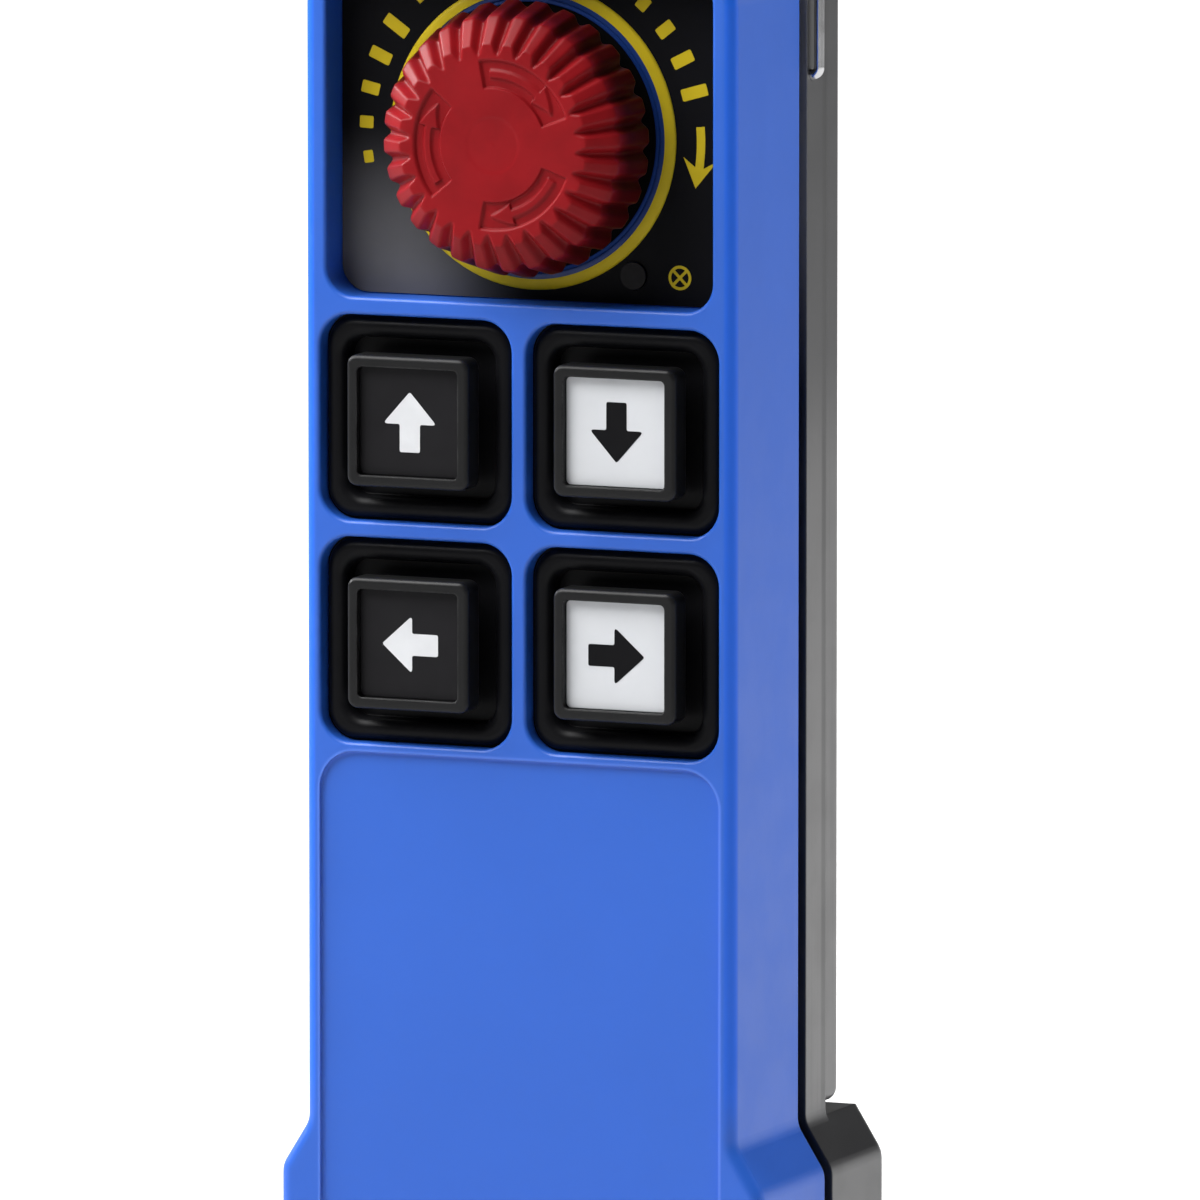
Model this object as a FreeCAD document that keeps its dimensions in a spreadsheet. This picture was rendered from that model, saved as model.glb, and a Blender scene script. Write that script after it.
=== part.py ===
import FreeCAD, Part
import Sketcher
import math
import os

# Hand-held radio remote control for a crane: a blue front casing and a grey rear casing
# closed on a black gasket, a red turn-to-release stop head, four push keys in rubber boots,
# a wire strap bail and a battery foot that the remote stands on.
# Millimetres, +Z up along the remote, front towards -Y, +X to the right seen from the front.
# Depths are measured along the front normal, from the upright plane through the origin.

doc = FreeCAD.newDocument("crane_remote")

SIZES = [
    # Casing outline
    ("grip_width", 72.0),
    ("body_height", 222.0),
    ("foot_flare", 4.5),
    ("flare_drop", 7.2),
    ("top_corner", 9.0),
    ("foot_corner", 4.5),
    ("crease_round", 4.0),
    ("edge_round", 1.95),
    ("wall", 2.5),
    ("face_wall", 3.0),
    # Depths of the casing
    ("face_front", 22.0),
    ("front_depth", 26.0),
    ("gasket_thick", 3.3),
    ("gasket_inset", 1.4),
    ("gasket_width", 0.7),
    ("rear_side", 8.0),
    ("back_raise", 7.8),
    ("back_inset", 0.4),
    ("back_round", 3.0),
    ("back_foot_gap", 1.5),
    ("back_foot_round", 1.8),
    ("foot_wall", 3.0),
    ("foot_round", 3.0),
    # Keys
    ("well_edge", 2.65),
    ("well_rib", 2.5),
    ("well_drop", 2.75),
    ("well_corner", 5.0),
    ("well_round", 0.6),
    ("boot_clear", 0.3),
    ("boot_flange", 0.8),
    ("boot_flange_thick", 1.8),
    ("boot_sink", 1.5),
    ("boot_ridge", 3.4),
    ("boot_ridge_round", 1.6),
    ("boot_floor_depth", 5.0),
    ("boot_floor_thick", 1.4),
    ("boot_sleeve_radius", 7.4),
    ("boot_sleeve_rise", 0.7),
    ("cap_valley", 2.15),
    ("cap_corner", 1.6),
    ("cap_rise", 3.2),
    ("cap_spare", 0.5),
    ("cap_edge", 0.7),
    ("cap_frame", 1.85),
    ("tile_corner", 0.8),
    ("tile_thick", 1.0),
    ("tile_sink", 1.2),
    ("tile_clear", 0.1),
    ("key_stem_radius", 3.4),
    ("key_stem_clear", 0.4),
    ("key_travel", 2.6),
    ("plunger_radius", 2.0),
    ("plunger_clear", 0.08),
    ("plunger_spare", 0.4),
    ("plunger_length", 4.5),
    ("switch_size", 12.0),
    ("switch_height", 7.0),
    ("switch_floor", 1.2),
    # Stop button
    ("pocket_edge", 3.7),
    ("pocket_top_edge", 4.4),
    ("pocket_corner", 4.5),
    ("pocket_depth", 6.4),
    ("pocket_floor", 2.5),
    ("pocket_wall", 1.5),
    ("legend_thick", 0.4),
    ("legend_clear", 0.2),
    ("legend_below", 2.8),
    ("legend_above", 3.4),
    ("ring_gap", 1.65),
    ("ring_width", 1.2),
    ("ring_rise", 0.5),
    ("seal_thick", 0.6),
    ("seal_gap", 0.3),
    ("flange_lip", 3.5),
    ("flange_thick", 1.8),
    ("neck_radius", 11.0),
    ("neck_clear", 0.15),
    ("neck_length", 12.7),
    ("neck_wall", 2.85),
    ("nut_wall", 2.5),
    ("nut_thick", 3.8),
    ("nut_clear", 0.05),
    ("stem_clear", 0.05),
    ("stem_over", 1.4),
    ("spigot_step", 3.1),
    ("spigot_length", 6.0),
    ("spigot_clear", 0.05),
    ("spigot_gap", 0.3),
    ("block_size", 28.0),
    ("block_depth", 8.0),
    ("block_clear", 0.5),
    ("head_radius", 21.5),
    ("head_rise", 16.0),
    ("head_gap", 1.0),
    ("hub_gap", 0.3),
    ("head_taper", 1.75),
    ("bevel_depth", 3.5),
    ("bevel_width", 4.15),
    ("brow_round", 1.2),
    ("head_face_round", 0.5),
    ("head_wall", 4.0),
    ("head_hollow_depth", 5.5),
    ("hub_wall", 4.5),
    ("flute_radius", 1.1),
    ("flute_offset", 0.2),
    ("flute_run", 1.4),
    ("flute_bend", 3.0),
    ("track_inner", 8.7),
    ("track_outer", 13.2),
    ("track_depth", 0.5),
    ("track_span", 80.0),
    ("stop_travel", 4.0),
    # Indicator
    ("lamp_angle", 38.74),
    ("lamp_land", 1.92),
    ("lens_radius", 2.1),
    ("lens_clear", 0.1),
    ("lens_rise", 0.5),
    ("lamp_radius", 1.5),
    ("lamp_height", 2.4),
    # Lower panel
    ("panel_edge", 2.5),
    ("panel_strip", 1.35),
    ("panel_foot", 9.0),
    ("panel_corner", 6.0),
    ("panel_depth", 0.7),
    # Screws and bosses
    ("boss_radius", 3.4),
    ("boss_gap", 0.1),
    ("boss_top_inset", 8.0),
    ("boss_top_drop", 10.0),
    ("boss_mid_inset", 6.8),
    ("boss_mid_drop", 13.0),
    ("boss_foot_inset", 5.7),
    ("boss_foot_height", 14.0),
    ("screw_radius", 1.4),
    ("screw_length", 17.0),
    ("screw_head_radius", 2.4),
    ("screw_head_height", 1.8),
    ("screw_seat", 10.0),
    ("pilot_clear", 0.05),
    ("pilot_depth", 9.0),
    ("shank_clear", 0.2),
    ("bore_clear", 0.3),
    # Board
    ("board_gap", 16.0),
    ("board_thick", 1.6),
    ("board_margin", 2.7),
    ("board_tail", 9.0),
    ("board_head", 3.4),
    ("board_corner", 2.0),
    ("post_radius", 2.4),
    ("post_inset", 3.0),
    ("post_tail", 4.0),
    ("post_rise", 1.3),
    ("board_screw_radius", 1.0),
    ("board_screw_clear", 0.1),
    ("board_screw_length", 7.0),
    ("board_screw_head", 2.0),
    ("board_screw_cap", 1.3),
    ("radio_width", 26.0),
    ("radio_height", 20.0),
    ("radio_thick", 3.2),
    ("aerial_radius", 2.0),
    ("aerial_gap", 2.0),
    ("aerial_length", 30.0),
    # Strap bail
    ("bail_wire", 0.8),
    ("bail_clear", 0.05),
    ("bail_set_back", 1.7),
    ("bail_above", 8.5),
    ("bail_reach", 2.2),
    ("bail_gap", 0.1),
    ("bail_bend", 1.2),
    ("bail_over", 13.0),
    ("bail_corner", 14.0),
    # Battery foot
    ("tray_side", 0.4),
    ("tray_head", 0.3),
    ("tray_wall", 1.0),
    ("tray_ahead", 10.5),
    ("cell_radius", 7.1),
    ("cell_cap_radius", 2.7),
    ("cell_cap", 1.2),
    ("cell_gap", 0.3),
    ("cell_play", 0.3),
    ("cell_front_gap", 0.4),
    ("cell_back_gap", 2.5),
    ("strip_thick", 0.5),
    ("strip_gap", 0.2),
    ("strip_spring", 3.1),
    ("strip_bump_radius", 3.0),
    ("strip_tip_radius", 1.4),
    ("door_side", 9.5),
    ("door_low", 5.0),
    ("door_head", 4.5),
    ("door_gap", 0.9),
    ("door_clear", 0.3),
    ("door_thick", 2.4),
    ("door_corner", 2.0),
    ("barrel_radius", 1.7),
    ("pin_radius", 0.8),
    ("pin_clear", 0.05),
    ("pin_grip", 2.0),
    ("notch_width", 16.0),
    ("notch_height", 4.0),
    ("notch_depth", 0.9),
    ("door_seal_thick", 0.6),
    ("door_seal_width", 1.6),
    ("door_seal_inset", 1.2),
    ("door_seal_rise", 3.5),
]

FLUTES = 28
TRACKS = 3

sheet = doc.addObject("Spreadsheet::Sheet", "sizes")


class Size:
    """A length with its number and the expression that ties it to the sheet."""

    def __init__(self, value, text):
        self.value = value
        self.text = text

    def __add__(self, other):
        other = as_size(other)
        return Size(self.value + other.value, f"({self.text} + {other.text})")

    def __sub__(self, other):
        other = as_size(other)
        return Size(self.value - other.value, f"({self.text} - {other.text})")

    def __mul__(self, other):
        other = as_size(other)
        return Size(self.value * other.value, f"({self.text} * {other.text})")

    def __truediv__(self, other):
        other = as_size(other)
        return Size(self.value / other.value, f"({self.text} / {other.text})")

    def __neg__(self):
        return Size(-self.value, f"(-1 * {self.text})")

    def root(self):
        return Size(math.sqrt(self.value), f"sqrt({self.text})")


def sine(angle):
    return Size(math.sin(math.radians(angle.value)), f"sin({angle.text} * 1 deg)")


def cosine(angle):
    return Size(math.cos(math.radians(angle.value)), f"cos({angle.text} * 1 deg)")


def as_size(number):
    if isinstance(number, Size):
        return number
    return Size(float(number), f"{float(number):g}")


class Sheet:
    """The sizes by name."""


d = Sheet()
for row, (alias, number) in enumerate(SIZES, start=1):
    sheet.set(f"A{row}", alias)
    sheet.set(f"B{row}", str(number))
    sheet.setAlias(f"B{row}", alias)
    setattr(d, alias, Size(number, f"sizes.{alias}"))
doc.recompute()

ZERO = as_size(0)
NODES = []

# Depths of the main planes
face = d.face_front
seam = face - d.front_depth
rear = seam - d.gasket_thick
step = rear - d.rear_side
back = step - d.back_raise
face_inner = face - d.face_wall
floor_front = face - d.pocket_depth
floor_back = floor_front - d.pocket_floor
legend_top = floor_front + d.legend_thick
board_front = face_inner - d.board_gap
board_back = board_front - d.board_thick

# Cells in their tray, which set the height and the depth of the foot
cell_pitch = d.cell_radius * 2 + d.cell_gap
tray_top = d.wall + (d.tray_wall + d.cell_play + d.cell_radius) * 2 + cell_pitch
tray_front = seam + d.tray_ahead
cell_front = tray_front - d.tray_wall - d.cell_front_gap - d.cell_radius
tray_back = cell_front - cell_pitch - d.cell_radius - d.cell_back_gap
foot_back = tray_back - d.door_gap - d.door_seal_thick - d.door_thick
crease_height = tray_top + d.tray_head + d.wall

# Flare of the foot
foot_width = d.grip_width + d.foot_flare * 2
flare_slant = (d.foot_flare * d.foot_flare + d.flare_drop * d.flare_drop).root()
flare_skew = (flare_slant - d.flare_drop) / d.foot_flare


def bind(thing, path, size):
    """Tie one property of a thing to the sheet."""
    thing.setExpression(path, as_size(size).text)


def new_body(name):
    return doc.addObject("PartDesign::Body", name)


def origin_plane(body, role):
    return [item for item in body.Origin.OriginFeatures if item.Role == role][0]


def new_sketch(body, name, depth=ZERO, role="XZ_Plane"):
    """A sketch on an upright plane of the body, set forward by a depth."""
    sketch = body.newObject("Sketcher::SketchObject", name)
    sketch.AttachmentSupport = [(origin_plane(body, role), "")]
    sketch.MapMode = "FlatFace"
    bind(sketch, "AttachmentOffset.Base.z", depth)
    return sketch


def hold(sketch, kind, name, size, *where):
    """Add a dimension to a sketch and tie it to the sheet."""
    size = as_size(size)
    index = sketch.addConstraint(Sketcher.Constraint(kind, *where, size.value))
    sketch.renameConstraint(index, name)
    bind(sketch, f"Constraints.{name}", size)


def pin_point(sketch, name, geometry, end, across, up):
    hold(sketch, "DistanceX", f"{name}_across", across, -1, 1, geometry, end)
    hold(sketch, "DistanceY", f"{name}_up", up, -1, 1, geometry, end)


def add_circle(sketch, name, across, up, radius):
    across = as_size(across)
    up = as_size(up)
    centre = FreeCAD.Vector(across.value, up.value, 0)
    index = sketch.addGeometry(Part.Circle(centre, FreeCAD.Vector(0, 0, 1), radius.value))
    pin_point(sketch, name, index, 3, across, up)
    hold(sketch, "Radius", f"{name}_radius", radius, index)


def corner_arc(before, corner, after, radius):
    """The tangent points, centre and turn of a rounded corner."""
    come = (before - corner).normalize()
    leave = (after - corner).normalize()
    half = come.getAngle(leave) / 2
    reach = radius / math.tan(half)
    middle = (come + leave).normalize()
    centre = corner + middle * (radius / math.sin(half))
    turn = (corner - before).cross(after - corner).z
    return corner + come * reach, corner + leave * reach, centre, turn


def angle_of(point, centre):
    return math.atan2(point.y - centre.y, point.x - centre.x)


def add_bent_line(path, corners, rounds):
    """An open line of straight sides with a rounded bend at each corner."""
    points = [FreeCAD.Vector(across.value, up.value, 0) for across, up in corners]
    bends = range(1, len(points) - 1)
    arcs = {k: corner_arc(points[k - 1], points[k], points[k + 1], rounds[k].value) for k in bends}
    starts = [points[0]] + [arcs[k][1] for k in bends]
    ends = [arcs[k][0] for k in bends] + [points[-1]]
    sides = [path.addGeometry(Part.LineSegment(a, b)) for a, b in zip(starts, ends)]
    pin_point(path, "start", sides[0], 1, *corners[0])
    pin_point(path, "end", sides[-1], 2, *corners[-1])
    for k in bends:
        come, leave, centre, turn = arcs[k]
        circle = Part.Circle(centre, FreeCAD.Vector(0, 0, 1), rounds[k].value)
        angles = [angle_of(come, centre), angle_of(leave, centre)]
        first, last = (1, 2) if turn > 0 else (2, 1)
        arc = Part.ArcOfCircle(circle, angles[first - 1], angles[last - 1])
        index = path.addGeometry(arc)
        path.addConstraint(Sketcher.Constraint("Tangent", sides[k - 1], 2, index, first))
        path.addConstraint(Sketcher.Constraint("Tangent", sides[k], 1, index, last))
        hold(path, "Radius", f"bend_{k}", rounds[k], index)
        tip = path.addGeometry(Part.Point(points[k]), True)
        pin_point(path, f"tip_{k}", tip, 1, *corners[k])
        path.addConstraint(Sketcher.Constraint("PointOnObject", tip, 1, sides[k - 1]))
        path.addConstraint(Sketcher.Constraint("PointOnObject", tip, 1, sides[k]))


def add_loop(sketch, name, corners):
    """A closed outline of straight sides, each corner with its own rounding or sharp."""
    count = len(corners)
    corners = [(as_size(x), as_size(y), as_size(r)) for x, y, r in corners]
    points = [FreeCAD.Vector(x.value, y.value, 0) for x, y, r in corners]
    shape = []
    for k, (x, y, r) in enumerate(corners):
        if r.value:
            shape.append(corner_arc(points[k - 1], points[k], points[(k + 1) % count], r.value))
        else:
            shape.append((points[k], points[k], None, 0))
    sides = []
    for k in range(count):
        line = Part.LineSegment(shape[k][1], shape[(k + 1) % count][0])
        sides.append(sketch.addGeometry(line))
    for k, (x, y, r) in enumerate(corners):
        side_in = sides[k - 1]
        side_out = sides[k]
        if not r.value:
            sketch.addConstraint(Sketcher.Constraint("Coincident", side_in, 2, side_out, 1))
            pin_point(sketch, f"{name}_{k}", side_out, 1, x, y)
            continue
        come, leave, centre, turn = shape[k]
        circle = Part.Circle(centre, FreeCAD.Vector(0, 0, 1), r.value)
        first, last = (come, leave) if turn > 0 else (leave, come)
        arc = Part.ArcOfCircle(circle, angle_of(first, centre), angle_of(last, centre))
        index = sketch.addGeometry(arc)
        end_in, end_out = (1, 2) if turn > 0 else (2, 1)
        sketch.addConstraint(Sketcher.Constraint("Tangent", side_in, 2, index, end_in))
        sketch.addConstraint(Sketcher.Constraint("Tangent", side_out, 1, index, end_out))
        hold(sketch, "Radius", f"{name}_{k}_round", r, index)
        tip = sketch.addGeometry(Part.Point(points[k]), True)
        pin_point(sketch, f"{name}_{k}", tip, 1, x, y)
        sketch.addConstraint(Sketcher.Constraint("PointOnObject", tip, 1, side_in))
        sketch.addConstraint(Sketcher.Constraint("PointOnObject", tip, 1, side_out))


def add_box_loop(sketch, name, left, right, low, high, radius):
    corners = [(left, low, radius), (right, low, radius), (right, high, radius), (left, high, radius)]
    add_loop(sketch, name, corners)


def add_square(sketch, name, across, up, side, radius):
    half = side / 2
    across = as_size(across)
    up = as_size(up)
    add_box_loop(sketch, name, across - half, across + half, up - half, up + half, radius)


def raise_pad(body, sketch, name, length):
    feature = body.newObject("PartDesign::Pad", name)
    feature.Profile = sketch
    bind(feature, "Length", length)
    sketch.Visibility = False
    doc.recompute()
    return feature


def cut_pocket(body, sketch, name, length, forward=False, both=False):
    """Cut towards the back, or forward, or to both sides."""
    feature = body.newObject("PartDesign::Pocket", name)
    feature.Profile = sketch
    bind(feature, "Length", length)
    feature.Reversed = forward
    feature.Midplane = both
    doc.recompute()
    return feature


def round_edges(body, name, radius, test):
    """Round every edge of the body that passes a test."""
    base = body.Tip
    names = [f"Edge{k}" for k, edge in enumerate(base.Shape.Edges, start=1) if test(edge)]
    if not names:
        raise RuntimeError(f"no edge to round for {name}")
    feature = body.newObject("PartDesign::Fillet", name)
    feature.Base = (base, names)
    bind(feature, "Radius", radius)
    doc.recompute()
    return feature


NEAR = 1e-4


def at_depth(edge, depth):
    box = edge.BoundBox
    return abs(box.YMin + depth.value) < NEAR and abs(box.YMax + depth.value) < NEAR


def inside(edge, half_width, low, high):
    box = edge.BoundBox
    within = box.XMin > -half_width.value - NEAR and box.XMax < half_width.value + NEAR
    return within and box.ZMin > low.value - NEAR and box.ZMax < high.value + NEAR


def keep(thing, label):
    """Name a finished piece and list it for writing out."""
    thing.Label = label
    NODES.append(thing)
    return thing


def casing_outline(sketch, name, inset):
    """Front view of the casing: a straight grip that flares out into the foot."""
    inset = as_size(inset)
    grip = d.grip_width / 2 - inset
    foot = foot_width / 2 - inset
    top = d.body_height - inset
    crease = crease_height - inset * flare_skew
    flare = crease - d.flare_drop
    right = [
        (foot, inset, d.foot_corner - inset),
        (foot, flare, d.crease_round - inset),
        (grip, crease, d.crease_round + inset),
        (grip, top, d.top_corner - inset),
    ]
    left = [(-x, z, r) for x, z, r in reversed(right)]
    add_loop(sketch, name, right + left)


def foot_outline(sketch, name, inset, top):
    """Front view of the foot alone, closed by a level shelf."""
    inset = as_size(inset)
    grip = d.grip_width / 2 - inset
    foot = foot_width / 2 - inset
    flare = crease_height - d.flare_drop - inset * flare_skew
    right = [
        (foot, inset, d.foot_corner - inset),
        (foot, flare, d.crease_round - inset),
        (grip, top, ZERO),
    ]
    left = [(-x, z, r) for x, z, r in reversed(right)]
    add_loop(sketch, name, right + left)


def axial(name, kind, low, high, across, up):
    """A round primitive that points to the front, from one depth to another."""
    thing = doc.addObject(kind, name)
    turn = FreeCAD.Rotation(FreeCAD.Vector(1, 0, 0), 90)
    thing.Placement = FreeCAD.Placement(FreeCAD.Vector(0, 0, 0), turn)
    bind(thing, "Height", as_size(high) - low)
    bind(thing, "Placement.Base.x", across)
    bind(thing, "Placement.Base.y", -as_size(low))
    bind(thing, "Placement.Base.z", up)
    return thing


def rod(name, radius, low, high, across=ZERO, up=ZERO):
    thing = axial(name, "Part::Cylinder", low, high, across, up)
    bind(thing, "Radius", radius)
    return thing


def block(name, left, right, low_depth, high_depth, low, high):
    thing = doc.addObject("Part::Box", name)
    bind(thing, "Length", as_size(right) - left)
    bind(thing, "Width", as_size(high_depth) - low_depth)
    bind(thing, "Height", as_size(high) - low)
    bind(thing, "Placement.Base.x", left)
    bind(thing, "Placement.Base.y", -as_size(high_depth))
    bind(thing, "Placement.Base.z", low)
    return thing


def cross_rod(name, radius, left, right, depth, up):
    """A round bar along the width."""
    thing = doc.addObject("Part::Cylinder", name)
    turn = FreeCAD.Rotation(FreeCAD.Vector(0, 1, 0), 90)
    thing.Placement = FreeCAD.Placement(FreeCAD.Vector(0, 0, 0), turn)
    bind(thing, "Radius", radius)
    bind(thing, "Height", as_size(right) - left)
    bind(thing, "Placement.Base.x", left)
    bind(thing, "Placement.Base.y", -as_size(depth))
    bind(thing, "Placement.Base.z", up)
    return thing


def fuse(name, things):
    thing = doc.addObject("Part::MultiFuse", name)
    thing.Shapes = things
    thing.Refine = True
    return thing


def cut(name, base, tool):
    thing = doc.addObject("Part::Cut", name)
    thing.Base = base
    thing.Tool = tool
    thing.Refine = True
    return thing


def group(name, things):
    thing = doc.addObject("Part::Compound", name)
    thing.Links = things
    return thing


def repeat_round(body, feature, sketch, name, count):
    """Repeat a cut round the upright axis of a sketch."""
    pattern = body.newObject("PartDesign::PolarPattern", name)
    pattern.Originals = [feature]
    pattern.Axis = (sketch, ["V_Axis"])
    pattern.Angle = 360
    body.Tip = pattern
    pattern.Occurrences = count
    doc.recompute()


# Stop button in its pocket
brow_radius = d.head_radius - d.head_taper
ring_inner = brow_radius + d.ring_gap
ring_outer = ring_inner + d.ring_width
legend_bore = ring_outer + d.legend_clear
pocket_half = d.grip_width / 2 - d.pocket_edge
pocket_high = d.body_height - d.pocket_top_edge
stop_height = pocket_high - d.legend_above - legend_bore
pocket_low = stop_height - legend_bore - d.legend_below
lamp_reach = legend_bore + d.lamp_land + d.lens_radius + d.lens_clear
lamp_side = lamp_reach * sine(d.lamp_angle)
lamp_up = stop_height - lamp_reach * cosine(d.lamp_angle)

# Places of the keys
well_size = (d.grip_width - d.well_rib) / 2 - d.well_edge
key_side = (well_size + d.well_rib) / 2
key_row_top = pocket_low - d.well_drop - well_size / 2
key_row_low = key_row_top - key_side * 2
cap_size = well_size - (d.boot_clear + d.boot_ridge + d.cap_valley) * 2
tile_size = cap_size - d.cap_frame * 2
KEYS = [
    ("upper_left", -key_side, key_row_top),
    ("upper_right", key_side, key_row_top),
    ("lower_left", -key_side, key_row_low),
    ("lower_right", key_side, key_row_low),
]

# Lower panel
panel_half = d.grip_width / 2 - d.panel_edge
panel_high = key_row_low - well_size / 2 - d.panel_strip

# Board behind the keys
board_half = key_side + d.switch_size / 2 + d.board_margin
board_low = panel_high - d.board_tail
board_high = stop_height - d.block_size / 2 - d.board_head

# Places of the casing screws and of the board posts
boss_top_side = d.grip_width / 2 - d.boss_top_inset
boss_top_height = d.body_height - d.boss_top_drop
boss_mid_side = d.grip_width / 2 - d.boss_mid_inset
boss_mid_height = panel_high - d.boss_mid_drop
boss_foot_side = foot_width / 2 - d.boss_foot_inset
UPPER_BOSSES = [
    ("top_left", -boss_top_side, boss_top_height),
    ("top_right", boss_top_side, boss_top_height),
]
LOWER_BOSSES = [
    ("mid_left", -boss_mid_side, boss_mid_height),
    ("mid_right", boss_mid_side, boss_mid_height),
    ("foot_left", -boss_foot_side, d.boss_foot_height),
    ("foot_right", boss_foot_side, d.boss_foot_height),
]
BOSSES = UPPER_BOSSES + LOWER_BOSSES
post_side = board_half - d.post_inset
post_low = board_low + d.post_tail
post_high = pocket_low - d.pocket_wall + d.post_radius + d.post_rise
UPPER_POSTS = [
    ("high_left", -post_side, post_high),
    ("high_right", post_side, post_high),
]
LOWER_POSTS = [
    ("low_left", -post_side, post_low),
    ("low_right", post_side, post_low),
]
POSTS = UPPER_POSTS + LOWER_POSTS

# Bail pivot
bail_depth = rear - d.bail_set_back
bail_up = stop_height + d.bail_above


def round_set(sketch, places, radius):
    for name, across, up in places:
        add_circle(sketch, name, across, up, radius)


def make_front_casing():
    body = new_body("front_casing")
    sketch = new_sketch(body, "front_outline", seam)
    casing_outline(sketch, "outer", ZERO)
    raise_pad(body, sketch, "front_solid", d.front_depth)
    round_edges(body, "front_edge", d.edge_round, lambda edge: at_depth(edge, face))

    sketch = new_sketch(body, "front_cavity", seam)
    casing_outline(sketch, "inner", d.wall)
    cut_pocket(body, sketch, "front_hollow", d.front_depth - d.face_wall, forward=True)

    # Box behind the stop pocket
    sketch = new_sketch(body, "stop_box", floor_back)
    side = d.grip_width / 2 - d.wall / 2
    top = d.body_height - d.wall / 2
    radius = d.top_corner - d.wall / 2
    low = pocket_low - d.pocket_wall
    corners = [(-side, low, ZERO), (side, low, ZERO), (side, top, radius), (-side, top, radius)]
    add_loop(sketch, "box", corners)
    raise_pad(body, sketch, "stop_box_solid", face_inner - floor_back + d.face_wall / 2)

    # Stop pocket and key wells
    sketch = new_sketch(body, "stop_pocket", face)
    add_box_loop(sketch, "pocket", -pocket_half, pocket_half, pocket_low, pocket_high, d.pocket_corner)
    cut_pocket(body, sketch, "stop_pocket_cut", d.pocket_depth)
    sketch = new_sketch(body, "key_wells", face)
    for name, across, up in KEYS:
        add_square(sketch, name, across, up, well_size, d.well_corner)
    cut_pocket(body, sketch, "key_wells_cut", d.face_wall)
    low = key_row_low - well_size / 2
    round_edges(
        body,
        "well_edges",
        d.well_round,
        lambda edge: at_depth(edge, face) and inside(edge, key_side + well_size / 2, low, pocket_high),
    )

    # Blank lower panel
    sketch = new_sketch(body, "lower_panel", face)
    add_box_loop(sketch, "panel", -panel_half, panel_half, d.panel_foot, panel_high, d.panel_corner)
    cut_pocket(body, sketch, "lower_panel_cut", d.panel_depth)

    # Ring round the stop button
    sketch = new_sketch(body, "stop_ring", floor_front)
    add_circle(sketch, "outside", ZERO, stop_height, ring_outer)
    add_circle(sketch, "inside", ZERO, stop_height, ring_inner)
    raise_pad(body, sketch, "stop_ring_solid", d.legend_thick + d.ring_rise)

    # Holes for the neck and the indicator
    sketch = new_sketch(body, "stop_holes", floor_front)
    add_circle(sketch, "neck", ZERO, stop_height, d.neck_radius + d.neck_clear)
    add_circle(sketch, "lens", lamp_side, lamp_up, d.lens_radius + d.lens_clear)
    cut_pocket(body, sketch, "stop_holes_cut", d.pocket_floor)

    # Screw bosses and board posts
    sketch = new_sketch(body, "upper_bosses", seam)
    round_set(sketch, UPPER_BOSSES, d.boss_radius)
    raise_pad(body, sketch, "upper_bosses_solid", floor_back - seam + d.pocket_floor / 2)
    sketch = new_sketch(body, "lower_bosses", seam)
    round_set(sketch, LOWER_BOSSES, d.boss_radius)
    raise_pad(body, sketch, "lower_bosses_solid", face_inner - seam + d.face_wall / 4)
    sketch = new_sketch(body, "boss_pilots", seam)
    round_set(sketch, BOSSES, d.screw_radius + d.pilot_clear)
    cut_pocket(body, sketch, "boss_pilots_cut", d.pilot_depth, forward=True)
    sketch = new_sketch(body, "upper_posts", board_front)
    round_set(sketch, UPPER_POSTS, d.post_radius)
    raise_pad(body, sketch, "upper_posts_solid", floor_back - board_front + d.pocket_floor / 2)
    sketch = new_sketch(body, "lower_posts", board_front)
    round_set(sketch, LOWER_POSTS, d.post_radius)
    raise_pad(body, sketch, "lower_posts_solid", face_inner - board_front + d.face_wall / 4)
    sketch = new_sketch(body, "post_pilots", board_front)
    round_set(sketch, POSTS, d.board_screw_radius + d.board_screw_clear)
    cut_pocket(body, sketch, "post_pilots_cut", d.board_screw_length, forward=True)
    keep(body, "front_casing")


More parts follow.
